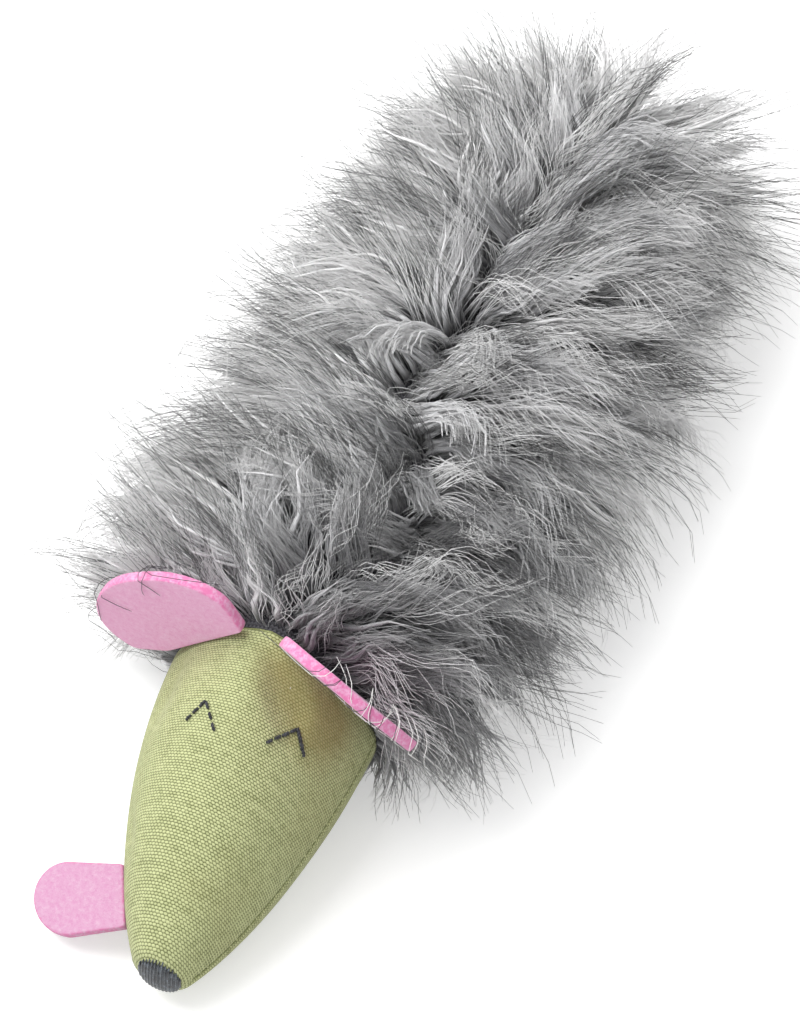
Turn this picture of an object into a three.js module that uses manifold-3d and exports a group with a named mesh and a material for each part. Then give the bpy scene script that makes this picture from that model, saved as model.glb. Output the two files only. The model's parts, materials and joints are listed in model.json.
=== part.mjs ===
// A soft kicker toy for cats: a long sleeve of shaggy faux fur with a canvas animal head sewn
// to one end. Millimetres, +Z up. The nose points along -Y, the tail end along +Y, and the toy
// lies on its belly at z = 0. The group is centred on the middle of the toy's footprint.
//
// Two skins make the outline: the canvas of the head and the knitted backing of the fur. Both
// are swept cross-sections, a superellipse whose top and bottom halves differ. Everything that
// lies under or over a skin is the same sweep moved in or out by a thickness and a clearance.
import * as THREE from "three";
import Module from "manifold-3d";

const { degToRad, lerp, smoothstep } = THREE.MathUtils;

// Clearances and sheet materials
const clearance = 0.3;
const contactDepth = 0.5;
const canvasThickness = 0.9;
const backingThickness = 1;
const feltThickness = 3;
const filmThickness = 0.4;
const seamThread = 0.6;
const eyeThread = 0.9;

// The canvas head, from the neck seam to the tip of the nose
const headLength = 74;
const neckWidth = 56;
const neckTop = 60;
const neckBottom = 4;
const neckSeamHeight = 29;
const neckOffset = 0.8;
const noseWidth = 9.2;
const noseTop = 17;
const noseBottom = 5;
const noseSeamHeight = 10;
const noseDrift = 4.5;
const noseRounding = 3;
const browRoundness = 1.45;
const cheekRoundness = 2;
const jawRoundness = 2.2;
const widthEase = { along: 1.75, across: 0.75 };
const crownEase = { along: 1.9, across: 0.8 };
const chinEnd = 0.3;
const snoutStart = 0.55;
const browEnd = 0.6;
const noseDriftBack = 0.15;

// The fur sleeve, from the neck seam to the closed tail end
const frontLength = 75;
const middleLength = 68;
const rearLength = 50;
const sleeveWidth = 68;
const sleeveHeight = 55;
const sleeveBow = 5;
const sleeveShift = 1;
const neckTaper = 25;
const tailRounding = 30;
const sidePileDepth = 26;
const topPileDepth = 17;
const underPileDepth = 5;
const tailPileDepth = 17;
const pileSagDepth = 8;
const partingDepth = 9;
const partingWidth = 11;
const partingRoute = [[-85, 6], [-62, 14], [-45, 20], [-20, 6], [10, 4], [49, 8], [108, 5]];
const seamPileShare = 0.25;
const pileGrowthLength = 17;
const collarLength = 19;
const waistBend = 20;
const rumpBend = 25;
const bendSlack = 0.5;
const furRoundness = 2.2;

// What the stuffing holds
const neckBallRadius = 19;
const neckBallDrop = 1;
const pouchWidth = 26;
const pouchHeight = 18;
const pouchLength = 32;
const pouchEndPlumpness = 0.25;
const pouchEndWidth = 0.85;
const filmLength = 34;
const filmSpread = 140;

// Felt ears and tongue
const earWidth = 46;
const earHeight = 24.5;
const earBase = 31;
const earInnerReach = 3;
const earLowest = 8;
const leftEarLean = 2;
const leftEarFromTop = 4;
const leftEarReach = 31;
const rightEarLean = 32;
const rightEarFromTop = 2.5;
const rightEarReach = 16;
const tongueLength = 22.5;
const tongueWidth = 19;
const tongueSweep = 3;
const tongueDroop = 15;
const tongueRootShares = [0.6892, 0.8751];

// Embroidery and hand stitches
const eyeSpacing = 21.2;
const eyeFromNeck = 17.3;
const eyeMiddle = 3.2;
const eyeLineTurn = 9;
const eyeLength = 6.2;
const eyeSkew = 1.4;
const eyeWidth = 8.8;
const stitchesPerStroke = 3;
const stitchHump = 0.3;
const nosePatchLength = 1.3;
const nosePatchThickness = 0.9;
const nosePatchSides = [5, 245];
const nosePatchTip = 82.8;
const closingWidth = 36;
const closingHeight = 5;
const closingStitches = 9;

// How finely the soft forms are faceted
const facetsRound = 28;
const headSteps = 15;
const threadSides = 6;

// Places that follow from the sizes above
const neckY = -85;
const collarY = neckY + collarLength;
const waistY = neckY + frontLength;
const rumpY = waistY + middleLength;
const tailY = rumpY + rearLength;
const sleeveMidHeight = underPileDepth + sleeveHeight / 2;
const seamGap = seamThread + 2 * clearance;
const neckBallHeight = (neckTop + neckBottom) / 2 - neckBallDrop;
const startOfCap = 1 - noseRounding / headLength;

const finish = {
  canvas: new THREE.MeshStandardMaterial({ color: 0xa7b07a, roughness: 0.95, metalness: 0 }),
  felt: new THREE.MeshStandardMaterial({ color: 0xe39fc6, roughness: 1, metalness: 0 }),
  darkThread: new THREE.MeshStandardMaterial({ color: 0x3a4048, roughness: 0.6, metalness: 0 }),
  greenThread: new THREE.MeshStandardMaterial({ color: 0x8b9560, roughness: 0.7, metalness: 0 }),
  greyThread: new THREE.MeshStandardMaterial({ color: 0x6b6b6b, roughness: 0.7, metalness: 0 }),
  knit: new THREE.MeshStandardMaterial({ color: 0x55565a, roughness: 1, metalness: 0 }),
  fur: new THREE.MeshStandardMaterial({ color: 0x8f9094, roughness: 0.8, metalness: 0 }),
  fibre: new THREE.MeshStandardMaterial({ color: 0xf1f1ee, roughness: 1, metalness: 0 }),
  cotton: new THREE.MeshStandardMaterial({ color: 0xd8cfb8, roughness: 1, metalness: 0 }),
  film: new THREE.MeshStandardMaterial({ color: 0xdfe4e6, roughness: 0.3, metalness: 0 }),
};

const solids = await Module();
solids.setup();

const toy = new THREE.Group();

// Cross-sections

// The head's section at a distance behind or ahead of the neck seam, as a share of its length.
function headSection(share) {
  const intoCap = Math.max(0, (share - startOfCap) / (1 - startOfCap));
  const cap = Math.sqrt(Math.max(0, 1 - intoCap ** 2));
  const z = lerp(neckSeamHeight, noseSeamHeight, share);
  const taper = (1 - share ** widthEase.along) ** widthEase.across;
  const crown = (1 - share ** crownEase.along) ** crownEase.across;
  const neckRise = (neckBottom + contactDepth) * (1 - smoothstep(share, 0, chinEnd));
  const noseRise = (noseBottom + contactDepth) * smoothstep(share, snoutStart, 1);
  const bottom = neckRise + noseRise - contactDepth;
  const top = z + lerp(noseTop - noseSeamHeight, neckTop - neckSeamHeight, crown);
  return {
    x: neckOffset + noseDrift * (share ** 2 - noseDriftBack * share),
    z,
    halfWidth: (cap * lerp(noseWidth, neckWidth, taper)) / 2,
    top: z + cap * (top - z),
    bottom: z - cap * (z - bottom),
    topPower: lerp(browRoundness, cheekRoundness, Math.min(1, share / browEnd)),
    bottomPower: jawRoundness,
  };
}

function bowAt(y) {
  const along = (y - neckY) / (tailY - neckY);
  return sleeveBow * Math.sin(Math.PI * Math.min(along, 1)) - sleeveShift;
}

// How much of the full section is left where a closed end rounds off.
function roundedEnd(y, length, end) {
  const into = Math.max(0, (y - (end - length)) / length);
  return Math.sqrt(Math.max(0, 1 - Math.min(into, 1) ** 2));
}

// The knitted backing's section: the neck ring, opening out to the full sleeve.
function sleeveSection(y) {
  const neck = headSection(0);
  const open = smoothstep(y, neckY, neckY + neckTaper);
  const end = roundedEnd(y, tailRounding, tailY);
  return {
    x: lerp(neck.x, bowAt(y), open),
    z: lerp(neck.z, sleeveMidHeight, open),
    halfWidth: end * lerp(neck.halfWidth, sleeveWidth / 2, open),
    top: lerp(neck.z, sleeveMidHeight, open) +
      end * lerp(neck.top - neck.z, sleeveHeight / 2, open),
    bottom: lerp(neck.z, sleeveMidHeight, open) -
      end * lerp(neck.z - neck.bottom, sleeveHeight / 2, open),
    topPower: lerp(neck.topPower, furRoundness, open),
    bottomPower: furRoundness,
  };
}

// The outside of the pile: thin at the neck seam, full behind it, flat where it lies.
function pileSection(y) {
  const sleeve = sleeveSection(Math.min(y, tailY - tailRounding));
  const rise = Math.max(0, 1 - (y - neckY) / pileGrowthLength);
  const depth = lerp(seamPileShare, 1, Math.sqrt(Math.max(0, 1 - rise ** 2)));
  const end = roundedEnd(y, tailRounding + tailPileDepth, tailY + tailPileDepth);
  const z = sleeve.z + pileSagDepth / 2;
  return {
    x: lerp(sleeve.x, bowAt(y), depth),
    z,
    halfWidth: end * (sleeve.halfWidth + depth * sidePileDepth),
    top: z + end * (sleeve.top - z + depth * topPileDepth),
    bottom: z - end * (z + pileSagDepth),
    topPower: lerp(sleeve.topPower, furRoundness, depth),
    bottomPower: furRoundness,
    parting: end * depth * partingDepth,
  };
}

// A point of a section, moved in by an inset and kept above the floor.
function sectionPoint(section, y, angle, inset) {
  const across = Math.cos(angle);
  const rise = Math.sin(angle);
  const power = 2 / (rise >= 0 ? section.topPower : section.bottomPower);
  const reach = rise >= 0 ? section.top - section.z : section.z - section.bottom;
  const x = Math.sign(across) * Math.abs(across) ** power * (section.halfWidth - inset);
  const z = Math.sign(rise) * Math.abs(rise) ** power * (reach - inset);
  return new THREE.Vector3(section.x + x, y, Math.max(section.z + z, inset, 0));
}

function headPoint(share, angle, inset) {
  const y = neckY - share * (headLength - inset);
  return sectionPoint(headSection(share), y, angle, inset);
}

const sleevePoint = (inset) => (y, angle) => sectionPoint(sleeveSection(y), y, angle, inset);

// How far to the side the pile parts, from the neck seam to the tail.
function partingAt(y) {
  const next = partingRoute.findIndex(([end]) => end > y);
  if (next < 1) return partingRoute.at(next)[1];
  const [[y0, x0], [y1, x1]] = partingRoute.slice(next - 1, next + 1);
  return lerp(x0, x1, (y - y0) / (y1 - y0));
}

// The pile's outside, with the shallow valley where it parts along the back.
function pilePoint(y, angle) {
  const section = pileSection(y);
  const point = sectionPoint(section, y, angle, 0);
  const across = (point.x - partingAt(y)) / partingWidth;
  if (point.z > section.z) point.z -= section.parting * Math.exp(-(across ** 2));
  return point;
}

// The head's upper surface over a spot in plan, lifted off it along its normal.
function onForehead(x, y, lift) {
  const heightAt = (px, py) => {
    const section = headSection((neckY - py) / headLength);
    const share = Math.abs(px - section.x) / section.halfWidth;
    const rise = (1 - share ** section.topPower) ** (1 / section.topPower);
    return section.z + (section.top - section.z) * rise;
  };
  const step = 0.5;
  const slopeX = (heightAt(x + step, y) - heightAt(x - step, y)) / (2 * step);
  const slopeY = (heightAt(x, y + step) - heightAt(x, y - step)) / (2 * step);
  const normal = new THREE.Vector3(-slopeX, -slopeY, 1).normalize();
  return new THREE.Vector3(x, y, heightAt(x, y)).addScaledVector(normal, lift);
}

// Building blocks

const evenly = (from, to, count) =>
  Array.from({ length: count + 1 }, (_, i) => lerp(from, to, i / count));

const roundAngles = evenly(0, 2 * Math.PI, facetsRound).slice(0, -1);

// A closed surface from its points and faces, turned so that its faces point out.
function closedGeometry(points, faces) {
  const volume = faces.reduce((sum, [a, b, c]) => {
    const normal = new THREE.Vector3().crossVectors(points[b], points[c]);
    return sum + points[a].dot(normal);
  }, 0);
  const outward = volume > 0 ? faces : faces.map(([a, b, c]) => [a, c, b]);
  return new THREE.BufferGeometry().setFromPoints(points).setIndex(outward.flat());
}

function quad(a, b, c, d) {
  return [[a, b, c], [a, c, d]];
}

// A solid through closed rings of points, closed at each end on a middle point.
function loftRings(rings, firstMiddle, lastMiddle) {
  const count = rings[0].length;
  const points = [...rings.flat(), firstMiddle, lastMiddle];
  const first = rings.length * count;
  const faces = [];
  for (let k = 0; k < count; k++) {
    const next = (k + 1) % count;
    faces.push([first, next, k]);
    faces.push([first + 1, first - count + k, first - count + next]);
    for (let r = 0; r + 1 < rings.length; r++) {
      const here = r * count;
      const there = here + count;
      faces.push(...quad(here + k, here + next, there + next, there + k));
    }
  }
  return closedGeometry(points, faces);
}

// A sheet between two matching grids of points, open round its edges or closed into a tube.
function sheet(outer, inner, isTube) {
  const rows = outer.length;
  const columns = outer[0].length;
  const points = [...outer.flat(), ...inner.flat()];
  const inside = rows * columns;
  const faces = [];
  const spans = isTube ? columns : columns - 1;
  for (let k = 0; k < spans; k++) {
    const next = (k + 1) % columns;
    for (let r = 0; r + 1 < rows; r++) {
      const here = r * columns;
      const there = here + columns;
      faces.push(...quad(here + k, here + next, there + next, there + k));
      faces.push(...quad(inside + here + k, inside + there + k, inside + there + next,
        inside + here + next));
    }
    const last = (rows - 1) * columns;
    faces.push(...quad(k, inside + k, inside + next, next));
    faces.push(...quad(last + k, last + next, inside + last + next, inside + last + k));
  }
  if (!isTube) {
    for (let r = 0; r + 1 < rows; r++) {
      const here = r * columns;
      const there = here + columns;
      const edge = columns - 1;
      faces.push(...quad(here, there, inside + there, inside + here));
      faces.push(...quad(here + edge, inside + here + edge, inside + there + edge, there + edge));
    }
  }
  return closedGeometry(points, faces);
}

// A thread along a route of points.
function thread(points, diameter, steps) {
  const circle = new THREE.Shape().absarc(0, 0, diameter / 2, 0, 2 * Math.PI);
  return new THREE.ExtrudeGeometry(circle, {
    extrudePath: new THREE.CatmullRomCurve3(points),
    steps,
    curveSegments: threadSides / 2,
    bevelEnabled: false,
  });
}

function solidOf(geometry) {
  const flat = geometry.index ? geometry.toNonIndexed() : geometry;
  const position = flat.getAttribute("position");
  const places = new Map();
  const vertices = [];
  const triangles = [];
  for (let i = 0; i < position.count; i++) {
    const corner = [position.getX(i), position.getY(i), position.getZ(i)];
    const key = corner.map((value) => Math.round(value * 1e4)).join();
    if (!places.has(key)) {
      places.set(key, vertices.length / 3);
      vertices.push(...corner);
    }
    triangles.push(places.get(key));
  }
  return new solids.Manifold(new solids.Mesh({
    numProp: 3,
    vertProperties: new Float32Array(vertices),
    triVerts: new Uint32Array(triangles),
  }));
}

// Two overlapping solids joined into one.
function joined(first, second) {
  const made = solidOf(first).add(solidOf(second)).getMesh();
  return new THREE.BufferGeometry()
    .setAttribute("position", new THREE.BufferAttribute(made.vertProperties, 3))
    .setIndex(new THREE.BufferAttribute(made.triVerts, 1));
}

function addPiece(name, geometry, material, parent = toy) {
  const piece = new THREE.Mesh(geometry, material);
  piece.name = name;
  parent.add(piece);
}

// Cuts across the sleeve

const flatCut = (y) => () => y;

const coneSlope = (bend) => Math.tan(degToRad(bend / 2 + bendSlack));

// Where a surface meets the cone that opens from a bending point on the sleeve's axis. The
// shift widens or narrows the gap between the two sides of the bend.
function coneCut(pivotY, side, bend, shift) {
  const slope = coneSlope(bend);
  const pivot = sleeveSection(pivotY);
  return (surface, angle) => {
    let y = pivotY;
    for (let pass = 0; pass < 4; pass++) {
      const point = surface(y, angle);
      const distance = Math.hypot(point.x - pivot.x, point.z - pivot.z);
      y = pivotY + side * (distance * slope + shift);
    }
    return y;
  };
}

// Rings of a surface between two cuts, evenly spaced along each line of the surface.
function ringsBetween(surface, fromCut, toCut, steps) {
  const ends = roundAngles.map((angle) => [fromCut(surface, angle), toCut(surface, angle)]);
  return evenly(0, 1, steps).map((share) =>
    roundAngles.map((angle, k) => surface(lerp(...ends[k], share), angle)));
}

// Rings of a surface that rounds off to its closed end.
function ringsToTail(surface, fromCut, end, length, steps) {
  const startOfDome = end - length;
  const straight = ringsBetween(surface, fromCut, flatCut(startOfDome), 3);
  const dome = evenly(0, Math.PI / 2, steps).slice(1, -1).map((turn) =>
    roundAngles.map((angle) => surface(startOfDome + length * Math.sin(turn), angle)));
  return [...straight, ...dome];
}

// The head

// The angle at which a panel's edge stands half a seam's gap above or below the side seam.
function seamTrim(share, isUpper) {
  const section = headSection(share);
  const reach = isUpper ? section.top - section.z : section.z - section.bottom;
  const power = isUpper ? section.topPower : section.bottomPower;
  return Math.asin(Math.min(0.9, (seamGap / 2 / reach) ** (power / 2)));
}

// One canvas panel of the head, between the two side seams.
function headPanel(isUpper) {
  const lastShare = 1 - (0.07 * noseRounding) / headLength;
  const shares = [...evenly(0, startOfCap, headSteps - 3), lerp(startOfCap, 1, 0.6), lastShare];
  const from = isUpper ? 0 : Math.PI;
  const layer = (inset) => shares.map((share) => {
    const trim = seamTrim(share, isUpper);
    return evenly(from + trim, from + Math.PI - trim, facetsRound / 2)
      .map((angle) => headPoint(share, angle, inset));
  });
  return sheet(layer(0), layer(canvasThickness), false);
}

// The head's stuffing, hollowed at the neck for the ball of stuffing that it turns on.
function headStuffing() {
  const inset = canvasThickness + clearance;
  const neck = headSection(0);
  const socket = neckBallRadius + clearance;
  const hollow = evenly(Math.PI / 2, 0, 5).slice(1, -1).map((turn) =>
    roundAngles.map((angle) => new THREE.Vector3(
      neck.x + socket * Math.sin(turn) * Math.cos(angle),
      neckY - clearance - socket * Math.cos(turn),
      neckBallHeight + socket * Math.sin(turn) * Math.sin(angle))));
  const mouth = roundAngles.map((angle) => new THREE.Vector3(
    neck.x + socket * Math.cos(angle), neckY - clearance,
    neckBallHeight + socket * Math.sin(angle)));
  const shares = evenly(clearance / headLength, startOfCap, headSteps - 6);
  const skin = shares.map((share) =>
    roundAngles.map((angle) => headPoint(share, angle, inset)));
  const bottomOfSocket = new THREE.Vector3(neck.x, neckY - clearance - socket, neckBallHeight);
  const tip = headSection(shares.at(-1));
  const tipMiddle = new THREE.Vector3(tip.x, skin.at(-1)[0].y - 1, tip.z);
  return loftRings([...hollow.reverse(), mouth, ...skin], bottomOfSocket, tipMiddle);
}

// Satin stitches wrapped over the tip of the nose.
function nosePatch() {
  const firstTurn = Math.asin(1 - nosePatchLength / noseRounding);
  const [fromAngle, toAngle] = nosePatchSides.map(degToRad);
  const shares = evenly(firstTurn, degToRad(nosePatchTip), 4)
    .map((turn) => lerp(startOfCap, 1, Math.sin(turn)));
  const layer = (lift) => shares.map((share) =>
    evenly(fromAngle, toAngle, 14).map((angle) => headPoint(share, angle, -lift)));
  return sheet(layer(clearance + nosePatchThickness), layer(clearance), false);
}

// A closed eye: two strokes of backstitch that meet in a point towards the neck.
function closedEye(side) {
  const turn = degToRad(eyeLineTurn);
  const middle = new THREE.Vector2(eyeMiddle, neckY - eyeFromNeck);
  const place = new THREE.Vector2(side * eyeSpacing / 2, 0)
    .rotateAround(new THREE.Vector2(), turn).add(middle);
  const skew = side * eyeSkew;
  const corners = [[-eyeWidth / 2, -eyeLength - skew], [0, 0], [eyeWidth / 2, -eyeLength + skew]]
    .map(([x, y]) => new THREE.Vector2(x, y).rotateAround(new THREE.Vector2(), turn).add(place));
  const perStroke = 4 * stitchesPerStroke;
  const route = [];
  for (let stroke = 0; stroke < 2; stroke++) {
    for (let k = stroke; k <= perStroke; k++) {
      const share = k / perStroke;
      const spot = corners[stroke].clone().lerp(corners[stroke + 1], share);
      const hump = stitchHump * Math.abs(Math.sin(Math.PI * stitchesPerStroke * share));
      route.push(onForehead(spot.x, spot.y, eyeThread / 2 + clearance + hump));
    }
  }
  return thread(route, eyeThread, 2 * perStroke);
}

// The thread along one side seam, from the neck to the nose patch.
function sideSeam(angle) {
  const shares = evenly(2 * clearance / headLength, startOfCap, 16);
  const route = shares.map((share) => headPoint(share, angle, seamThread / 2));
  return thread(route, seamThread, 16);
}

// The thread round the neck seam, with its two ends left apart.
function neckSeam() {
  const inset = (canvasThickness + clearance) / 2;
  const route = evenly(degToRad(-88), degToRad(268), 40).map((angle) =>
    sectionPoint(headSection(0), neckY + seamGap / 2 - clearance / 2, angle, inset));
  return thread(route, seamThread, 44);
}

// Felt flaps

// A felt plate in its own frame: its root along X from the origin, its blade along +Y.
function feltFlap(outline, rootLength) {
  const blade = new THREE.ExtrudeGeometry(outline, {
    depth: feltThickness,
    bevelEnabled: false,
    curveSegments: 18,
  }).translate(0, 0, -feltThickness / 2);
  const fold = new THREE.CylinderGeometry(feltThickness / 2, feltThickness / 2, rootLength, 14)
    .rotateZ(Math.PI / 2)
    .translate(rootLength / 2, 0, 0);
  return joined(blade, fold);
}

// Puts a flap's root between two points of a skin, raised so that it clears the skin's curve.
function seatFlap(group, from, to, away, skinPoints) {
  const along = to.clone().sub(from).normalize();
  const across = away.clone().addScaledVector(along, -away.dot(along)).normalize();
  const bulge = Math.max(0, ...skinPoints.map((point) => point.clone().sub(from).dot(across)));
  const normal = new THREE.Vector3().crossVectors(along, across);
  group.matrix.makeBasis(along, across, normal);
  group.quaternion.setFromRotationMatrix(group.matrix);
  group.position.copy(from).addScaledVector(across, bulge + feltThickness / 2 + clearance);
}

// An ear's outline: part of an ellipse that overhangs its root on the outer side.
function earOutline() {
  const radiusX = earWidth / 2;
  const radiusY = (earHeight + earLowest) / 2;
  const centre = new THREE.Vector2(radiusX - earInnerReach, earHeight - radiusY);
  const start = -Math.asin(Math.min(0.9, (0.75 * centre.y) / radiusY));
  const outline = new THREE.Shape();
  outline.moveTo(0, 0);
  outline.lineTo(earBase, 0);
  outline.absellipse(centre.x, centre.y, radiusX, radiusY, start, Math.PI + 0.05, false);
  outline.closePath();
  return outline;
}

function addEar(name, side, fromTop, reach, lean) {
  const plane = neckY - clearance - feltThickness / 2;
  const ring = roundAngles.length * 4;
  const skin = evenly(0, Math.PI, ring).map((angle) => headPoint(0, angle, 0));
  const sideOf = (point) => side * (point.x - neckOffset);
  const near = skin.filter((point) => sideOf(point) > 0).sort((a, b) => b.z - a.z);
  const inner = near.find((point) => sideOf(point) > fromTop);
  const outer = near.find((point) => inner.distanceTo(point) > reach) ?? near.at(-1);
  const flatten = (point) => new THREE.Vector3(point.x, plane, point.z);
  const along = outer.clone().sub(inner).normalize();
  const upright = new THREE.Vector3(-side * along.z, 0, side * along.x);
  const group = new THREE.Group();
  seatFlap(group, flatten(inner), flatten(outer), upright, near.map(flatten));
  group.rotateX(side * degToRad(lean));
  addPiece(name, feltFlap(earOutline(), earBase), finish.felt, group);
  toy.add(group);
}

// The tongue's outline: straight sides that widen a little to a round end, swept back.
function tongueOutline(rootLength) {
  const radius = tongueWidth / 2;
  const middle = rootLength / 2;
  const endOfSides = tongueLength - radius;
  const sweep = (y) => (-tongueSweep * y) / tongueLength;
  const rim = [new THREE.Vector2(rootLength, 0)];
  for (const turn of evenly(0, Math.PI, 18)) {
    const y = endOfSides + radius * Math.sin(turn);
    rim.push(new THREE.Vector2(middle + radius * Math.cos(turn) + sweep(y), y));
  }
  rim.push(new THREE.Vector2(0, 0));
  return new THREE.Shape(rim);
}

function addTongue() {
  const skin = evenly(...tongueRootShares, 8).map((share) => headPoint(share, Math.PI, 0));
  const rootLength = skin[0].distanceTo(skin.at(-1));
  const sag = Math.sin(degToRad(tongueDroop));
  const group = new THREE.Group();
  seatFlap(group, skin[0], skin.at(-1), new THREE.Vector3(-1, 0, -sag), skin);
  addPiece("tongue", feltFlap(tongueOutline(rootLength), rootLength), finish.felt, group);
  toy.add(group);
}

function addHead() {
  addPiece("head_top_panel", headPanel(true), finish.canvas);
  addPiece("head_under_panel", headPanel(false), finish.canvas);
  addPiece("head_stuffing", headStuffing(), finish.fibre);
  addPiece("nose_embroidery", nosePatch(), finish.darkThread);
  addPiece("left_eye_stitches", closedEye(-1), finish.darkThread);
  addPiece("right_eye_stitches", closedEye(1), finish.darkThread);
  addPiece("right_side_seam_thread", sideSeam(0), finish.greenThread);
  addPiece("left_side_seam_thread", sideSeam(Math.PI), finish.greenThread);
  addPiece("neck_seam_thread", neckSeam(), finish.greenThread);
  addEar("left_ear", -1, leftEarFromTop, leftEarReach, leftEarLean);
  addEar("right_ear", 1, rightEarFromTop, rightEarReach, rightEarLean);
  addTongue();
}

// The sleeve

const stuffingInset = backingThickness + clearance;
const underFilm = stuffingInset + filmThickness + clearance;
const pileInset = -clearance;
const closingInset = -seamGap;

const waist = {
  frontEdge: coneCut(waistY, -1, waistBend, clearance / 2),
  rearEdge: coneCut(waistY, 1, waistBend, clearance / 2),
  foldFront: coneCut(waistY, -1, waistBend, -clearance / 2),
  foldRear: coneCut(waistY, 1, waistBend, -clearance / 2),
};
const rump = {
  frontEdge: coneCut(rumpY, -1, rumpBend, clearance / 2),
  rearEdge: coneCut(rumpY, 1, rumpBend, clearance / 2),
  foldFront: coneCut(rumpY, -1, rumpBend, -clearance / 2),
  foldRear: coneCut(rumpY, 1, rumpBend, -clearance / 2),
};

// A stretch of backing or pile, open at both ends.
function tube(outer, inner, fromCut, toCut, steps) {
  const rings = (surface) => ringsBetween(surface, fromCut, toCut, steps);
  return sheet(rings(outer), rings(inner), true);
}

function axisPoint(y) {
  const section = sleeveSection(y);
  return new THREE.Vector3(section.x, y, section.z);
}

function addStretch(name, fromCut, toCut, steps) {
  addPiece(`${name}_backing`,
    tube(sleevePoint(0), sleevePoint(backingThickness), fromCut, toCut, steps), finish.knit);
  addPiece(`${name}_fur`,
    tube(pilePoint, sleevePoint(pileInset), fromCut, toCut, steps), finish.fur);
}

function frontStuffing() {
  const start = flatCut(collarY + clearance);
  const skin = ringsBetween(sleevePoint(stuffingInset), start, waist.frontEdge, 4);
  return loftRings(skin, axisPoint(collarY + clearance), axisPoint(waistY - clearance / 2));
}

// The middle's stuffing, with a pocket in its rear face for the catnip pouch.
function middleStuffing() {
  const surface = sleevePoint(underFilm);
  const skin = ringsBetween(surface, waist.rearEdge, rump.frontEdge, 4);
  const slope = coneSlope(rumpBend);
  const rearAxis = axisPoint(rumpY);
  const pocketRing = (y) => roundAngles.map((angle) => {
    const x = (pouchWidth / 2 + clearance) * Math.cos(angle);
    const z = (pouchHeight / 2 + clearance) * Math.sin(angle);
    const mouthY = rumpY - Math.hypot(x, z) * slope - clearance / 2;
    return new THREE.Vector3(rearAxis.x + x, y ?? mouthY, rearAxis.z + z);
  });
  const bottomY = rumpY - pouchLength - 3 * clearance - pouchWidth * slope;
  const bottom = new THREE.Vector3(rearAxis.x, bottomY, rearAxis.z);
  return loftRings([...skin, pocketRing(), pocketRing(bottomY)],
    axisPoint(waistY + clearance / 2), bottom);
}

// A little cotton bag of catnip, plump in the middle and flat at its two sewn ends.
function catnipPouch() {
  const slope = coneSlope(rumpBend);
  const axis = axisPoint(rumpY);
  const rearY = rumpY - clearance - pouchWidth * slope;
  const frontY = rearY - pouchLength;
  const rings = evenly(0, 1, 6).map((share) => {
    const plump = lerp(pouchEndPlumpness, 1, Math.sin(Math.PI * share) ** 0.6);
    return roundAngles.map((angle) => new THREE.Vector3(
      axis.x + (pouchWidth / 2) * lerp(pouchEndWidth, 1, plump) * Math.cos(angle),
      lerp(frontY, rearY, share),
      axis.z + (pouchHeight / 2) * plump * Math.sin(angle)));
  });
  return loftRings(rings, new THREE.Vector3(axis.x, frontY, axis.z),
    new THREE.Vector3(axis.x, rearY, axis.z));
}

// A sheet of crackling film over the middle's stuffing.
function crinkleFilm() {
  const middleY = (waistY + rumpY) / 2;
  const half = degToRad(filmSpread / 2);
  const layer = (inset) => evenly(middleY - filmLength / 2, middleY + filmLength / 2, 3).map((y) =>
    evenly(Math.PI / 2 - half, Math.PI / 2 + half, 14).map((angle) =>
      sleevePoint(inset)(y, angle)));
  return sheet(layer(stuffingInset), layer(stuffingInset + filmThickness), false);
}

// A closed end as a cup: the inner skin back to the opening, then the outer skin.
function tailCup(outer, outerEnd, outerLength, inner, innerEnd, innerLength) {
  const outside = ringsToTail(outer, rump.rearEdge, outerEnd, outerLength, 6);
  const inside = ringsToTail(inner, rump.rearEdge, innerEnd, innerLength, 6);
  const middle = (y) => axisPoint(Math.min(y, tailY)).setY(y);
  return loftRings([...inside.reverse(), ...outside], middle(innerEnd), middle(outerEnd));
}

// Moves a closed surface's rounded end with its inset.
const tailSkin = (inset) => (y, angle) => {
  const stretch = (tailRounding - inset) / tailRounding;
  const domeStart = tailY - tailRounding;
  const y0 = y > domeStart ? domeStart + (y - domeStart) / stretch : y;
  return sleevePoint(inset)(y0, angle).setY(y);
};

function addRear() {
  addPiece("rear_backing", tailCup(tailSkin(0), tailY, tailRounding,
    tailSkin(backingThickness), tailY - backingThickness, tailRounding - backingThickness),
  finish.knit);
  addPiece("rear_fur", tailCup(pilePoint, tailY + tailPileDepth, tailRounding + tailPileDepth,
    tailSkin(closingInset), tailY - closingInset, tailRounding - closingInset), finish.fur);
  const skin = ringsToTail(tailSkin(stuffingInset), rump.rearEdge, tailY - stuffingInset,
    tailRounding - stuffingInset, 6);
  addPiece("rear_stuffing", loftRings(skin, axisPoint(rumpY + clearance / 2),
    axisPoint(tailY).setY(tailY - stuffingInset)), finish.fibre);
}

// The hand stitches that close the sleeve's tail end, zigzag across the opening.
function closingThread() {
  const section = sleeveSection(tailY - tailRounding);
  const lift = seamThread / 2 + clearance;
  const route = evenly(0, 1, 2 * closingStitches).map((share, k) => {
    const x = (share - 0.5) * closingWidth;
    const z = (k % 2 ? 1 : -1) * (closingHeight / 2);
    const width = sleeveWidth / 2 + lift;
    const height = sleeveHeight / 2 + lift;
    const rest = 1 - Math.abs(x / width) ** furRoundness - Math.abs(z / height) ** furRoundness;
    const depth = Math.sqrt(1 - (1 - rest) ** (2 / furRoundness));
    const x0 = bowAt(tailY - tailRounding + depth * tailRounding);
    return new THREE.Vector3(x0 + x, tailY - tailRounding + (tailRounding + lift) * depth,
      section.z + z);
  });
  return thread(route, seamThread, 4 * closingStitches);
}

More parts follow.
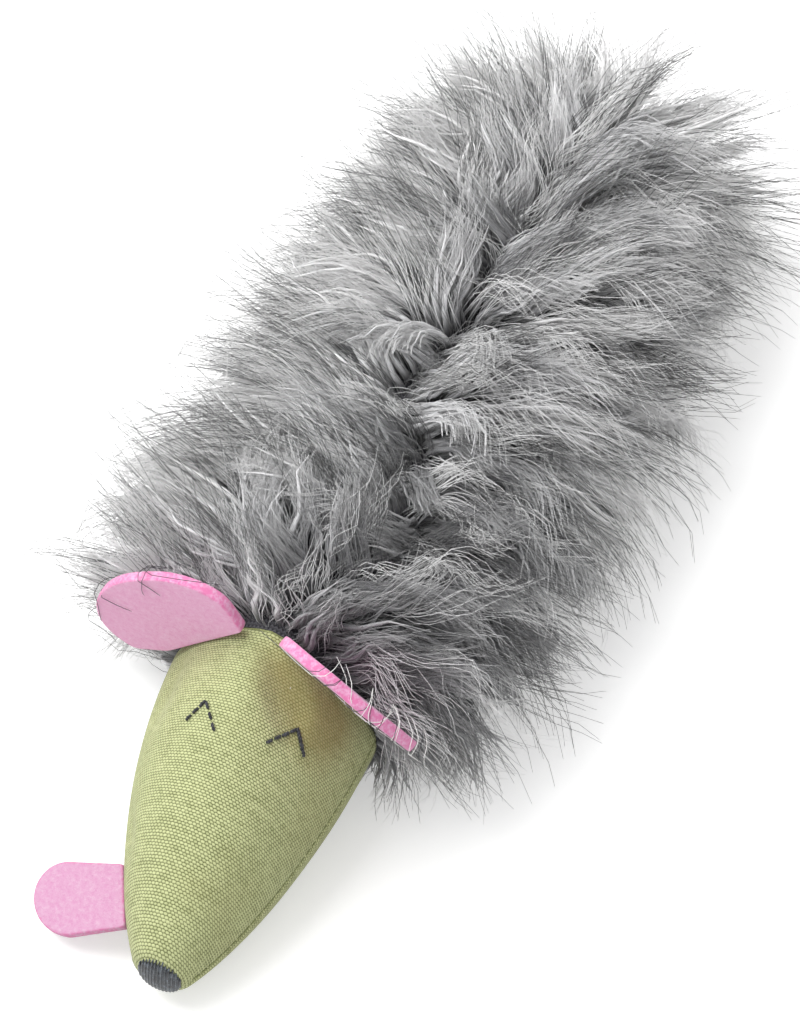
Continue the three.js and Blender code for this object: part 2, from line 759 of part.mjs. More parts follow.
function addSleeve() {
  const seamY = neckY + seamGap - clearance;
  addStretch("collar", flatCut(seamY), flatCut(collarY), 4);
  addStretch("front", flatCut(collarY + clearance), waist.frontEdge, 4);
  addStretch("waist_fold", waist.foldFront, waist.foldRear, 1);
  addStretch("middle", waist.rearEdge, rump.frontEdge, 3);
  addStretch("rump_fold", rump.foldFront, rump.foldRear, 1);
  addRear();
  const neck = headSection(0);
  addPiece("neck_stuffing", new THREE.SphereGeometry(neckBallRadius, 24, 14)
    .translate(neck.x, neckY, neckBallHeight), finish.fibre);
  addPiece("front_stuffing", frontStuffing(), finish.fibre);
  addPiece("middle_stuffing", middleStuffing(), finish.fibre);
  addPiece("catnip_pouch", catnipPouch(), finish.cotton);
  addPiece("crinkle_film", crinkleFilm(), finish.film);
  addPiece("tail_closing_thread", closingThread(), finish.greyThread);
}

addHead();
addSleeve();

const footprint = new THREE.Box3().setFromObject(toy);
const middle = footprint.getCenter(new THREE.Vector3());
toy.position.set(-middle.x, -middle.y, -footprint.min.z);

export default toy;
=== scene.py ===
"""A kicker cat toy: a stuffed sleeve of shaggy fur with a canvas head, felt ears and a tongue.

Sizes are in millimetres, in the pattern's own frame, unless a name ends in "_m". placed() turns
pattern points into frame points in metres.
"""

import sys
import json
import logging
import math
from dataclasses import dataclass, field
from enum import Enum
from typing import Callable, Optional, Sequence, Union

import bpy
import numpy as np
from bpy.types import Material, Mesh, Node, NodeSocket, NodeTree, Object
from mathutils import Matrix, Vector
from mathutils.bvhtree import BVHTree
from numpy.linalg import norm


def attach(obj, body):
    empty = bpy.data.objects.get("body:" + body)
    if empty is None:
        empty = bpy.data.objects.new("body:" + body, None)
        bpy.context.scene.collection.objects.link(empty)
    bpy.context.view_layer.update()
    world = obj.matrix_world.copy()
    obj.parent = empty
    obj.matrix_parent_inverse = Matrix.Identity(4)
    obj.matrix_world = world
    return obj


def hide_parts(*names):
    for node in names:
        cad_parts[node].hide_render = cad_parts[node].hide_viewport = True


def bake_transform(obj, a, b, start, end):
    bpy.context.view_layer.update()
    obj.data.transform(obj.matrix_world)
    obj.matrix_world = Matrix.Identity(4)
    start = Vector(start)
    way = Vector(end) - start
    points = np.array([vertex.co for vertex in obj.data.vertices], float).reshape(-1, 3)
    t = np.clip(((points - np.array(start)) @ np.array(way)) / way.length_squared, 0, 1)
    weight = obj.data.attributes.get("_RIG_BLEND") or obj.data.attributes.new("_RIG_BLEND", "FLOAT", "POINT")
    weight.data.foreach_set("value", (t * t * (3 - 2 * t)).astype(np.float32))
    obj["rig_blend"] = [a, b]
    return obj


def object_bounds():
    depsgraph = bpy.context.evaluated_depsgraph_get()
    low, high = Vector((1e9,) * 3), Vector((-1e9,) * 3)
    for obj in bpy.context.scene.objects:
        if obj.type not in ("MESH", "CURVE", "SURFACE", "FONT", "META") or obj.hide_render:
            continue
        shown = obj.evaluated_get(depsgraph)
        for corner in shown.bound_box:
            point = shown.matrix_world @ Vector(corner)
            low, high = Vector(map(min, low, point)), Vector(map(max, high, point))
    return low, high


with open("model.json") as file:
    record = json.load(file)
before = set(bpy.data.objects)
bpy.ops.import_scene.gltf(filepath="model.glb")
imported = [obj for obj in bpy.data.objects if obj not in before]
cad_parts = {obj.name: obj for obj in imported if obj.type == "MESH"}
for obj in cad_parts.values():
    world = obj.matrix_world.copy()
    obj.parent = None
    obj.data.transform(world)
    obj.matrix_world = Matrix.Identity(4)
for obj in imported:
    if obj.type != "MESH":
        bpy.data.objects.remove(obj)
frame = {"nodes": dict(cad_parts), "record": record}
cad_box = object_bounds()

log = logging.getLogger("kicker")

MM = 0.001
NECK_Y = -85.0
COLLAR_Y = -66.0
WAIST_Y = -10.0
RUMP_Y = 58.0
TAIL_Y = 108.0
ROWS = frame["record"]["behaviour"]["joints"]
JOINTS = {row["name"]: np.array(row["pos_m"]) / MM for row in ROWS}
AXES = {row["name"]: np.array(row["axis"]) for row in ROWS}
PATTERN_X = -2.663
PATTERN_ORIGIN = np.array([PATTERN_X, JOINTS["waist_bend"][1] - WAIST_Y, 0.0])

Array = np.ndarray
Colour = tuple[float, float, float]
Point = tuple[float, float, float]
Operand = Union["Value", float]
ArrowOperand = Union["Arrow", Point]


def placed(points: Union[Array, Sequence]) -> Array:
    """Turns pattern points in millimetres into frame points in metres."""
    return (np.asarray(points, float) + PATTERN_ORIGIN) * MM


def unplaced(points: Array) -> Array:
    """Turns frame points in metres back into pattern points in millimetres."""
    return np.asarray(points, float) / MM - PATTERN_ORIGIN


def lerp(a: float, b: float, share: Array) -> Array:
    """Mixes two numbers or arrays by a share."""
    return a + (b - a) * share


def eased(value: Array, low: float, high: float) -> Array:
    """Smooth step from 0 at low to 1 at high."""
    t = np.clip((value - low) / (high - low), 0.0, 1.0)
    return t * t * (3 - 2 * t)


def linear(red: int, green: int, blue: int) -> Colour:
    """Turns a screen colour from 0 to 255 into a linear colour."""

    def one(channel: int) -> float:
        share = channel / 255
        return share / 12.92 if share <= 0.04045 else ((share + 0.055) / 1.055) ** 2.4

    return one(red), one(green), one(blue)


# Node trees


def math_method(operation: str, swapped: bool = False) -> Callable[..., "Value"]:
    """A method that adds one Math node to the value's tree.

    Args:
        operation: The node's operation.
        swapped: Whether the other operand comes first.

    Returns:
        The method, which takes the other operands, if there are any.
    """

    def method(self: "Value", *others: Operand) -> "Value":
        """Adds the node and gives its result."""
        return self.op(operation, *((*others, self) if swapped else (self, *others)))

    return method


class Value:
    """A number in a node tree that Python's arithmetic works on.

    Besides the operators, least() puts a floor under it, most() a cap on it, size() takes off its
    sign, remainder() is never negative, and above() is 1 where it is larger, and otherwise 0.
    """

    def __init__(self, tree: "Tree", socket: NodeSocket) -> None:
        """Wraps a socket of a tree."""
        self.tree = tree
        self.socket = socket

    def op(self, operation: str, *operands: Operand) -> "Value":
        """Adds one Math node and gives its result."""
        node = self.tree.add("ShaderNodeMath", {"operation": operation}, dict(enumerate(operands)))
        return Value(self.tree, node.outputs[0])

    __add__ = math_method("ADD")
    __radd__ = math_method("ADD", swapped=True)
    __sub__ = math_method("SUBTRACT")
    __rsub__ = math_method("SUBTRACT", swapped=True)
    __mul__ = math_method("MULTIPLY")
    __rmul__ = math_method("MULTIPLY", swapped=True)
    __truediv__ = math_method("DIVIDE")
    __pow__ = math_method("POWER")
    sin = math_method("SINE")
    cos = math_method("COSINE")
    tanh = math_method("TANH")
    size = math_method("ABSOLUTE")
    least = math_method("MAXIMUM")
    most = math_method("MINIMUM")
    remainder = math_method("FLOORED_MODULO")
    above = math_method("GREATER_THAN")

    def step(self, low: float, high: float) -> "Value":
        """Smooth step from 0 at low to 1 at high."""
        node = self.tree.add(
            "ShaderNodeMapRange",
            {"interpolation_type": "SMOOTHSTEP"},
            {"Value": self, "From Min": low, "From Max": high},
        )
        return Value(self.tree, node.outputs[0])


class Arrow:
    """A vector in a node tree that Python's arithmetic works on."""

    def __init__(self, tree: "Tree", socket: NodeSocket) -> None:
        """Wraps a socket of a tree."""
        self.tree = tree
        self.socket = socket

    def op(self, operation: str, *operands: ArrowOperand) -> Node:
        """Adds one Vector Math node and returns it."""
        return self.tree.add(
            "ShaderNodeVectorMath", {"operation": operation}, dict(enumerate(operands))
        )

    def __add__(self, other: ArrowOperand) -> "Arrow":
        """Sum."""
        return Arrow(self.tree, self.op("ADD", self, other).outputs[0])

    def __sub__(self, other: ArrowOperand) -> "Arrow":
        """Difference."""
        return Arrow(self.tree, self.op("SUBTRACT", self, other).outputs[0])

    def __mul__(self, factor: Operand) -> "Arrow":
        """The vector scaled by a number."""
        node = self.tree.add("ShaderNodeVectorMath", {"operation": "SCALE"}, {0: self, "Scale": factor})
        return Arrow(self.tree, node.outputs[0])

    def stretched(self, x: float, y: float, z: float) -> "Arrow":
        """The vector with each of its parts scaled."""
        return Arrow(self.tree, self.op("MULTIPLY", self, (x, y, z)).outputs[0])

    def cross(self, other: "Arrow") -> "Arrow":
        """Cross product."""
        return Arrow(self.tree, self.op("CROSS_PRODUCT", self, other).outputs[0])

    def dot(self, other: "Arrow") -> Value:
        """Dot product."""
        return Value(self.tree, self.op("DOT_PRODUCT", self, other).outputs["Value"])

    def unit(self) -> "Arrow":
        """The vector at length 1."""
        return Arrow(self.tree, self.op("NORMALIZE", self).outputs[0])

    def parts(self) -> tuple[Value, Value, Value]:
        """Its x, y and z."""
        node = self.tree.add("ShaderNodeSeparateXYZ", {}, {0: self})
        x, y, z = (Value(self.tree, socket) for socket in node.outputs)
        return x, y, z


class Tree:
    """A node tree, and the one way that nodes are added to it."""

    def __init__(self, tree: NodeTree) -> None:
        """Wraps one of Blender's node trees."""
        self.tree = tree

    def feed(self, slot: NodeSocket, source: object) -> None:
        """Links a source to an input socket, or sets the input's own value."""
        if isinstance(source, (Value, Arrow)):
            self.tree.links.new(source.socket, slot)
        elif isinstance(source, NodeSocket):
            self.tree.links.new(source, slot)
        elif slot.type == "RGBA" and len(source) == 3:
            slot.default_value = (*source, 1.0)
        else:
            slot.default_value = source

    def add(self, kind: str, settings: Optional[dict] = None, inputs: Optional[dict] = None) -> Node:
        """Adds a node.

        Args:
            kind: The node's type.
            settings: Its own settings, set first. "stops" is a colour ramp's list of (place,
                colour).
            inputs: Values or links for its sockets, by name or by number among those in use.

        Returns:
            The new node.
        """
        node = self.tree.nodes.new(kind)
        for name, setting in (settings or {}).items():
            if name == "stops":
                ramp = node.color_ramp.elements
                while len(ramp) < len(setting):
                    ramp.new(0.5)
                for stop, (place, colour) in zip(ramp, setting):
                    stop.position = place
                    stop.color = (*colour, 1.0)
            else:
                setattr(node, name, setting)
        usable = [slot for slot in node.inputs if slot.enabled]
        for key, source in (inputs or {}).items():
            slot = (
                usable[key]
                if isinstance(key, int)
                else next(slot for slot in usable if slot.name == key)
            )
            self.feed(slot, source)
        return node

    def out(self, node: Node, name: Union[str, int] = 0) -> NodeSocket:
        """An output in use of a node, by name or by number."""
        usable = [slot for slot in node.outputs if slot.enabled]
        if isinstance(name, int):
            return usable[name]
        return next(slot for slot in usable if slot.name == name)

    def joined(self, x: Operand, y: Operand, z: Operand) -> Arrow:
        """A vector from its three parts."""
        node = self.add("ShaderNodeCombineXYZ", {}, {0: x, 1: y, 2: z})
        return Arrow(self, node.outputs[0])

    def noise(self, place: Arrow, scale: float, detail: float = 2.0, rough: float = 0.5) -> Value:
        """Smooth noise around 0.5 at a place."""
        node = self.add(
            "ShaderNodeTexNoise",
            {},
            {"Vector": place, "Scale": scale, "Detail": detail, "Roughness": rough},
        )
        return Value(self, node.outputs[0])

    def mixed(self, share: Operand, a: object, b: object) -> NodeSocket:
        """Mixes two colours by a share."""
        node = self.add(
            "ShaderNodeMix",
            {"data_type": "RGBA", "clamp_factor": True},
            {"Factor": share, "A": a, "B": b},
        )
        return self.out(node, "Result")


class Paint(Tree):
    """The node tree of one material, with its shader and its places on the piece."""

    def __init__(self, name: str, shader: dict) -> None:
        """Makes a material.

        Args:
            name: Its name.
            shader: What is the same all over it, by the names of the shader's sockets.
        """
        self.material = bpy.data.materials.new(name)
        self.material.use_nodes = True
        super().__init__(self.material.node_tree)
        self.shader = next(node for node in self.tree.nodes if node.type == "BSDF_PRINCIPLED")
        for name_of_socket, constant in shader.items():
            self.feed(self.shader.inputs[name_of_socket], constant)

    def place(self) -> Arrow:
        """The point's place in metres on the piece at rest."""
        node = self.add("ShaderNodeTexCoord")
        return Arrow(self, node.outputs["Object"])

    def cloth_place(self, layer: str) -> Arrow:
        """The point's place on one of the piece's own maps."""
        node = self.add("ShaderNodeUVMap", {"uv_map": layer})
        return Arrow(self, node.outputs[0])

    def dress(
        self,
        colour: object,
        rough: Optional[Operand] = None,
        height: Optional[Value] = None,
        depth_m: float = 0.0001,
    ) -> Material:
        """Connects what varies over the surface to the shader.

        Args:
            colour: Base colour, as a socket.
            rough: Roughness.
            height: Height for the bump, from 0 to 1.
            depth_m: How far a height of 1 stands out, in metres.

        Returns:
            The finished material.
        """
        self.feed(self.shader.inputs["Base Color"], colour)
        if rough is not None:
            self.feed(self.shader.inputs["Roughness"], rough)
        if height is not None:
            bump = self.add(
                "ShaderNodeBump", {}, {"Strength": 1.0, "Distance": depth_m, "Height": height}
            )
            self.feed(self.shader.inputs["Normal"], bump.outputs[0])
        return self.material


class Shaper(Tree):
    """A Geometry Nodes tree with named inputs, run once as a modifier on a base object."""

    def __init__(self, name: str, numbers: Sequence[str], whole: Sequence[str] = ()) -> None:
        """Makes the empty tree; a seed and a finish are always among its inputs.

        Args:
            name: The tree's name.
            numbers: Titles of the inputs that take any number.
            whole: Titles of the inputs that take whole numbers.
        """
        group = bpy.data.node_groups.new(name, "GeometryNodeTree")
        super().__init__(group)
        sockets = group.interface.new_socket
        for way in ("INPUT", "OUTPUT"):
            sockets(name="Geometry", in_out=way, socket_type="NodeSocketGeometry")
        kinds = dict.fromkeys(numbers, "Float") | dict.fromkeys([*whole, "Seed"], "Int")
        self.names: dict[str, str] = {}
        for title, kind in {**kinds, "Finish": "Material"}.items():
            made = sockets(name=title, in_out="INPUT", socket_type="NodeSocket" + kind)
            self.names[title] = made.identifier
        self.entry = group.nodes.new("NodeGroupInput")
        self.exit = group.nodes.new("NodeGroupOutput")

    def given(self, title: str) -> Value:
        """One of the tree's named inputs."""
        return Value(self, self.entry.outputs[title])

    def base(self) -> NodeSocket:
        """The geometry that the tree starts from."""
        return self.entry.outputs["Geometry"]

    def made(self, kind: str, inputs: dict, settings: Optional[dict] = None) -> NodeSocket:
        """Adds a node that makes or reads geometry, and gives its first output in use."""
        return self.out(self.add("GeometryNode" + kind, settings, inputs))

    def named(self, name: str) -> Value:
        """A number stored on the geometry under a name."""
        return Value(self, self.made("InputNamedAttribute", {"Name": name}, {"data_type": "FLOAT"}))

    def named_arrow(self, name: str) -> Arrow:
        """A vector stored on the geometry under a name."""
        kind = {"data_type": "FLOAT_VECTOR"}
        return Arrow(self, self.made("InputNamedAttribute", {"Name": name}, kind))

    def store(
        self,
        geometry: NodeSocket,
        name: str,
        source: Union[Value, Arrow],
        domain: str = "POINT",
        kind: Optional[str] = None,
    ) -> NodeSocket:
        """Stores a number or a vector on the geometry.

        Args:
            geometry: What it is stored on.
            name: The name that it is read by later.
            source: The number or vector.
            domain: What carries it.
            kind: Its type, where that isn't the source's own.

        Returns:
            The geometry with it.
        """
        kind = kind or ("FLOAT_VECTOR" if isinstance(source, Arrow) else "FLOAT")
        inputs = {"Geometry": geometry, "Name": name, "Value": source}
        return self.made("StoreNamedAttribute", inputs, {"data_type": kind, "domain": domain})

    def random(self, low: float, high: float, salt: int) -> Value:
        """A random number for each element.

        Args:
            low: The lowest it can be.
            high: The highest it can be.
            salt: A number of its own, added to the tree's seed.

        Returns:
            The number.
        """
        node = self.add(
            "FunctionNodeRandomValue",
            {"data_type": "FLOAT"},
            {"Min": low, "Max": high, "Seed": self.given("Seed") + float(salt)},
        )
        return Value(self, self.out(node))

    def along_curve(self) -> Value:
        """How far along its curve each point is, from 0 to 1."""
        return Value(self, self.add("GeometryNodeSplineParameter").outputs["Factor"])

    def number(self) -> Value:
        """Each element's own number."""
        return Value(self, self.add("GeometryNodeInputIndex").outputs[0])

    def tube(self, curve: NodeSocket, sides: Operand, radius: Value) -> NodeSocket:
        """A capped tube along a curve.

        Args:
            curve: The curve.
            sides: How many sides the tube has.
            radius: Its radius at each point of the curve, in metres.

        Returns:
            The tube, which carries how far round it a point is, from 0 to 1, as "rim".
        """
        ring = self.made("CurvePrimitiveCircle", {"Resolution": sides, "Radius": 1.0})
        ring = self.store(ring, "rim", self.number() / sides)
        inputs = {"Curve": curve, "Profile Curve": ring, "Scale": radius, "Fill Caps": True}
        return self.made("CurveToMesh", inputs)

    def position(self) -> Arrow:
        """Each element's place."""
        return Arrow(self, self.add("GeometryNodeInputPosition").outputs[0])

    def finish(self, geometry: NodeSocket) -> None:
        """Ends the tree with plain, smooth geometry in the given finish."""
        real = self.made("RealizeInstances", {"Geometry": geometry})
        smooth = self.made("SetShadeSmooth", {"Geometry": real})
        done = self.made("SetMaterial", {"Geometry": smooth, "Material": self.given("Finish")})
        self.tree.links.new(done, self.exit.inputs[0])

    def run(
        self,
        name: str,
        base: Mesh,
        material: Material,
        values: dict[str, Union[float, int]],
        keep: Sequence[str] = (),
    ) -> Object:
        """Runs the tree on a base mesh and keeps the result as a plain piece.

        Args:
            name: The new piece's name.
            base: The mesh that the tree starts from.
            material: The finish.
            values: The tree's other inputs, by title.
            keep: Names of the maps and attributes that the piece keeps.

        Returns:
            The piece, at the origin.
        """
        piece = bpy.data.objects.new(name, base)
        bpy.context.scene.collection.objects.link(piece)
        modifier = piece.modifiers.new("shape", "NODES")
        modifier.node_group = self.tree
        modifier[self.names["Finish"]] = material
        for title, value in values.items():
            modifier[self.names[title]] = value
        depsgraph = bpy.context.evaluated_depsgraph_get()
        mesh = bpy.data.meshes.new_from_object(
            piece.evaluated_get(depsgraph), preserve_all_data_layers=True, depsgraph=depsgraph
        )
        mesh.name = name
        piece.modifiers.clear()
        piece.data = mesh
        kept = {"position", "sharp_face", "sharp_edge", "material_index", *keep}
        for spare in [a.name for a in mesh.attributes if a.name not in kept]:
            if not mesh.attributes[spare].is_internal:
                mesh.attributes.remove(mesh.attributes[spare])
        return piece


# Finishes


@dataclass(frozen=True)
class CanvasFinish:
    """Coarse plain-woven cotton canvas in sage green.

    A warm painted shade darkens the canvas in a few dips behind the right eye, and a large
    random tint of the same colour lies over the rest. A fold is a line, given by both its ends,
    with how many times deeper than the weave it is.
    """

    thread: Colour = linear(190, 195, 145)
    # The colour between the nubs: partly the threads' own tone, partly painted shade in the hollows.
    gap: Colour = linear(112, 118, 73)
    # Colour of the large random tint and of the painted shade in the dips.
    shade: Colour = linear(134, 122, 66)
    nub_m: float = 0.0011
    row_m: float = 0.00066
    relief_m: float = 0.0002
    dip_reach_m: float = 0.0105
    dip_shade: float = 0.54
    deepest_shade: float = 0.6
    fold_reach_m: float = 0.008
    # Where painted shade darkens the canvas.
    dips: tuple[Point, ...] = (
        (14.0, -94.0, 48.0),
        (7.0, -91.0, 55.0),
        (21.0, -92.0, 43.5),
        (19.0, -98.0, 43.0),
    )
    folds: tuple[tuple[Point, Point, float], ...] = (
        ((1.0, -88.0, 59.5), (12.0, -97.0, 50.0), 9.0),
        ((-10.0, -93.0, 55.0), (6.0, -99.0, 52.0), 4.0),
        ((-21.0, -92.0, 44.0), (-22.0, -104.0, 38.0), 4.0),
    )

    def material(self) -> Material:
        """Oval nubs of thread laid like bricks, each a little different from the next."""
        paint = Paint(
            "sage_canvas",
            {"Roughness": 0.92, "Specular IOR Level": 0.25, "Sheen Weight": 0.1},
        )
        place = paint.place()
        across, along, _ = paint.cloth_place("weave").parts()
        wobble = paint.noise(place, 300.0, 2.0) - 0.5
        v = along / self.row_m + wobble * 0.5
        row = v.op("FLOOR", v)
        u = across / self.nub_m + row.remainder(2.0) * 0.5 + wobble * 0.4
        column = u.op("FLOOR", u)
        du = (u - column - 0.5) * 2.0
        dv = (v - row - 0.5) * 2.0
        nub = (1.0 - (du * du) ** 1.3 * 0.95 - (dv * dv) ** 1.2 * 0.9).least(0.0) ** 0.5
        single = paint.noise(paint.joined(column * 5.31, row * 3.77, 3.0), 1.0, 0.0) - 0.5
        slub = paint.noise(paint.joined(column * 0.1, row * 2.9, 9.0), 1.0, 1.0) - 0.5
        fibre = paint.noise(place, 3600.0, 2.0) - 0.5
        # Lighter in the middle of each nub and darker towards its edge and the hollows between nubs: painted
        # shade of the weave's relief, mixed with the threads' own random tone.
        light = (nub * 0.85 + single * 0.6 + slub * 0.45 + fibre * 0.4).step(0.0, 0.95)
        woven = paint.mixed(light, self.gap, self.thread)
        # A large random tint, to which each dip adds painted shade.
        tint_and_shade_share = paint.noise(place, 30.0, 2.0).step(0.5, 0.8) * 0.2
        for dip in self.dips:
            away = place - tuple(placed(dip).tolist())
            near = (1.0 - away.dot(away) ** 0.5 / self.dip_reach_m).least(0.0)
            tint_and_shade_share = tint_and_shade_share + near * self.dip_shade
        woven_tinted_and_shaded = paint.mixed(tint_and_shade_share.most(self.deepest_shade), woven, self.shade)
        relief = nub + fibre * 0.3 + slub * 0.3
        for start, end, depth in self.folds:
            relief = relief - self.fold(paint, place, placed([start, end])) * depth
        return paint.dress(woven_tinted_and_shaded, 0.96 - light * 0.1, relief, self.relief_m)

    def fold(self, paint: Paint, place: Arrow, ends: Array) -> Value:
        """How far into a fold a point lies.

        Args:
            paint: The canvas's tree.
            place: The point's place.
            ends: Both ends of the fold's line, in frame metres.

        Returns:
            1 on the line, fading to 0 at the fold's reach.
        """
        run = ends[1] - ends[0]
        past = place - tuple(ends[0].tolist())
        share = (past.dot(tuple(run.tolist())) / float(run @ run)).least(0.0).most(1.0)
        away = past - paint.joined(*(share * float(part) for part in run))
        return (1.0 - away.dot(away) ** 0.5 / self.fold_reach_m).step(0.0, 1.0)


@dataclass(frozen=True)
class FeltFinish:
    """Pressed craft felt in pink: matt, mottled, with short tangled fibres."""

    title: str = "pink_felt"
    face: Colour = linear(224, 165, 199)
    deep: Colour = linear(213, 131, 180)
    pale: Colour = linear(234, 198, 219)
    cut: Colour = linear(220, 118, 168)

    def material(self) -> Material:
        """Fine mottling in two scales over a fibrous bump."""
        paint = Paint(self.title, {"Roughness": 1.0, "Specular IOR Level": 0.15, "Sheen Weight": 0.25})
        place = paint.place()
        coarse = paint.noise(place, 800.0, 4.0, 0.7)
        fine = paint.noise(place.stretched(1.0, 1.7, 1.3), 3000.0, 3.0, 0.7)
        blot = paint.noise(place, 90.0, 2.0)
        tone = coarse * 0.6 + fine * 0.4
        dark = paint.mixed(tone.step(0.52, 0.36) * 0.55, self.face, self.deep)
        light = paint.mixed(tone.step(0.5, 0.66) * 0.6, dark, self.pale)
        washed = paint.mixed((blot - 0.4).least(0.0) * 0.8, light, self.face)
        inset, _, _ = paint.cloth_place("rim").parts()
        edge = (1.0 - inset.step(0.0001, 0.0009)) * (coarse.step(0.62, 0.4) * 0.75 + 0.15)
        washed = paint.mixed(edge, washed, self.cut)
        return paint.dress(washed, 1.0 - fine * 0.08, fine * 0.6 + coarse * 0.7, 0.00028)


# The tongue's felt: the same pink felt made darker as painted shade, since the tongue faces the lamps more
# than the ears.
TONGUE_PAINTED_SHADE_FELT = FeltFinish(
    "tongue_felt",
    linear(199, 151, 180),
    linear(190, 120, 163),
    linear(208, 181, 197),
    linear(205, 113, 158),
)


class ThreadKind(Enum):
    """The threads used on the toy: name, dark tone, light tone, roughness."""

    # The light tones stand partly for the threads' own plies and partly for painted sheen, the most on the
    # charcoal and slate threads.
    EMBROIDERY = ("charcoal_thread", linear(14, 16, 20), linear(84, 88, 96), 0.42)
    SATIN = ("slate_thread", linear(7, 12, 18), linear(124, 134, 144), 0.3)
    GREEN = ("green_sewing_thread", linear(120, 126, 78), linear(176, 182, 126), 0.6)
    GREY = ("grey_sewing_thread", linear(72, 72, 76), linear(120, 120, 124), 0.6)


@dataclass(frozen=True)
class ThreadFinish:
    """Spun thread with fine plies, whose lighter streaks are partly their own tone and partly painted sheen.
    """

    kind: ThreadKind

    def material(self) -> Material:
        """Streaks finer than the thread itself, with a soft gloss."""
        name, dark, light, rough = self.kind.value
        paint = Paint(name, {"Specular IOR Level": 0.5, "Sheen Weight": 0.1})
        place = paint.place()
        plies = paint.noise(place.stretched(2.2, 0.5, 1.0), 2600.0, 2.0, 0.6)
        patch = paint.noise(place, 700.0, 1.0)
        # Lighter ply streaks: partly the plies' own tone, partly painted sheen, most of all on the charcoal
        # and slate threads.
        tone = (plies * 0.8 + patch * 0.4).step(0.52, 0.9)
        colour = paint.mixed(tone, dark, light)
        return paint.dress(colour, rough + plies * 0.2, plies, 0.00008)


@dataclass(frozen=True)
class FurFinish:
    """Long grey faux fur: dark at the root, silver at the tip, with black guard hairs."""

    root: Colour = (0.055, 0.055, 0.06)
    grey: Colour = (0.17, 0.17, 0.18)
    silver: Colour = (0.88, 0.88, 0.9)
    white: Colour = (0.99, 0.985, 0.985)
    guard: Colour = (0.008, 0.008, 0.009)
    darkest_grey: float = 0.12
    streaks: float = 14000.0

    def material(self) -> Material:
        """Colour by how far along the strand a point is, and by the strand's own tone."""
        paint = Paint(
            "grey_fur", {"Specular IOR Level": 1.0, "Sheen Weight": 0.7, "Sheen Roughness": 0.35}
        )
        own, along, _ = paint.cloth_place("strand").parts()
        fibre = paint.noise(paint.joined(own * self.streaks, along * 4.0, 0.0), 1.0, 2.0) - 0.5
        tone = own + fibre * 1.6
        body = paint.mixed(tone.step(0.2, 0.6), self.grey, self.silver)
        bright = paint.mixed(tone.step(0.5, 0.85) * along.step(0.1, 0.5), body, self.white)
        bright = paint.mixed(along.step(0.55, 1.0) * 0.35, bright, self.white)
        lower = paint.mixed(along.step(0.05, 0.44), self.root, bright)
        colour = paint.mixed(own.above(self.darkest_grey), self.guard, lower)
        return paint.dress(colour, 0.32 - along * 0.06, fibre, 0.00015)


@dataclass(frozen=True)
class KnitFinish:
    """The dark knitted ground that the pile grows from."""

    rib: Colour = linear(86, 86, 90)
    gap: Colour = linear(38, 38, 41)
    pitch_m: float = 0.0012

    def material(self) -> Material:
        """Columns of V-shaped stitches that follow the cloth."""
        paint = Paint("knit_ground", {"Roughness": 0.95, "Specular IOR Level": 0.2})
        across, along, _ = paint.cloth_place("weave").parts()
        column = across / self.pitch_m
        slope = (column.remainder(1.0) - 0.5).size()
        loops = ((along / self.pitch_m + slope) * (2 * math.pi)).sin() * 0.5 + 0.5
        rib = (column * math.pi).sin().size()
        height = loops * 0.6 + rib * 0.4
        # Colour follows the knit's height: the hollows between loops get painted shade.
        return paint.dress(paint.mixed(height, self.gap, self.rib), None, height, 0.0003)


@dataclass(frozen=True)
class FillFinish:
    """Loose fibre, cotton or film inside the toy."""

    name: str
    low: Colour
    high: Colour
    grain: float
    rough: float
    relief_m: float

    def material(self) -> Material:
        """Tangled noise at the stuff's own scale."""
        paint = Paint(self.name, {"Specular IOR Level": 0.3})
        place = paint.place()
        tangle = paint.noise(place, self.grain, 5.0, 0.7)
        blot = paint.noise(place, self.grain * 0.2, 2.0)
        colour = paint.mixed((tangle * 0.7 + blot * 0.3).step(0.35, 0.65), self.low, self.high)
        return paint.dress(colour, self.rough - tangle * 0.1, tangle, self.relief_m)


FIBRE = FillFinish("fibre_fill", linear(214, 214, 210), linear(246, 246, 243), 500.0, 0.95, 0.0006)
COTTON = FillFinish("plain_cotton", linear(196, 186, 160), linear(224, 216, 194), 1500.0, 0.95, 0.0001)
FILM = FillFinish("crackle_film", linear(206, 212, 216), linear(236, 240, 242), 160.0, 0.35, 0.0004)


class Wardrobe:
    """Every finish of the toy, made once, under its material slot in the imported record."""

    def __init__(self) -> None:
        """Makes every material."""
        self.canvas = CanvasFinish().material()
        self.felt = FeltFinish().material()
        # A darker copy of the felt for the tongue, as painted shade.
        self.tongue_felt = TONGUE_PAINTED_SHADE_FELT.material()
        self.dark_thread = ThreadFinish(ThreadKind.EMBROIDERY).material()
        self.satin_thread = ThreadFinish(ThreadKind.SATIN).material()
        self.green_thread = ThreadFinish(ThreadKind.GREEN).material()
        self.grey_thread = ThreadFinish(ThreadKind.GREY).material()
        self.fur = FurFinish().material()
        self.knit_backing = KnitFinish().material()
        self.stuffing = FIBRE.material()
        self.cotton = COTTON.material()
        self.film = FILM.material()


# Meshes


def run_of(line: Array) -> Array:
    """How far along a line each of its points lies."""
    return np.concatenate([[0], np.cumsum(norm(np.diff(line, axis=0), axis=1))])


def at_run(spots: Array, run: Array, line: Array) -> Array:
    """Points, or what else a line carries, at places along it, from where its own points lie."""
    return np.stack([np.interp(spots, run, part) for part in line.T], axis=1)


def bands(rows: int, columns: int) -> Array:
    """Corners of the faces between closed rings that follow one another."""
    row = np.arange(rows - 1)[:, None] * columns
    here, nearby = row + np.arange(columns), row + (np.arange(columns) + 1) % columns
    return np.stack([here, nearby, nearby + columns, here + columns], axis=2).reshape(-1, 4)


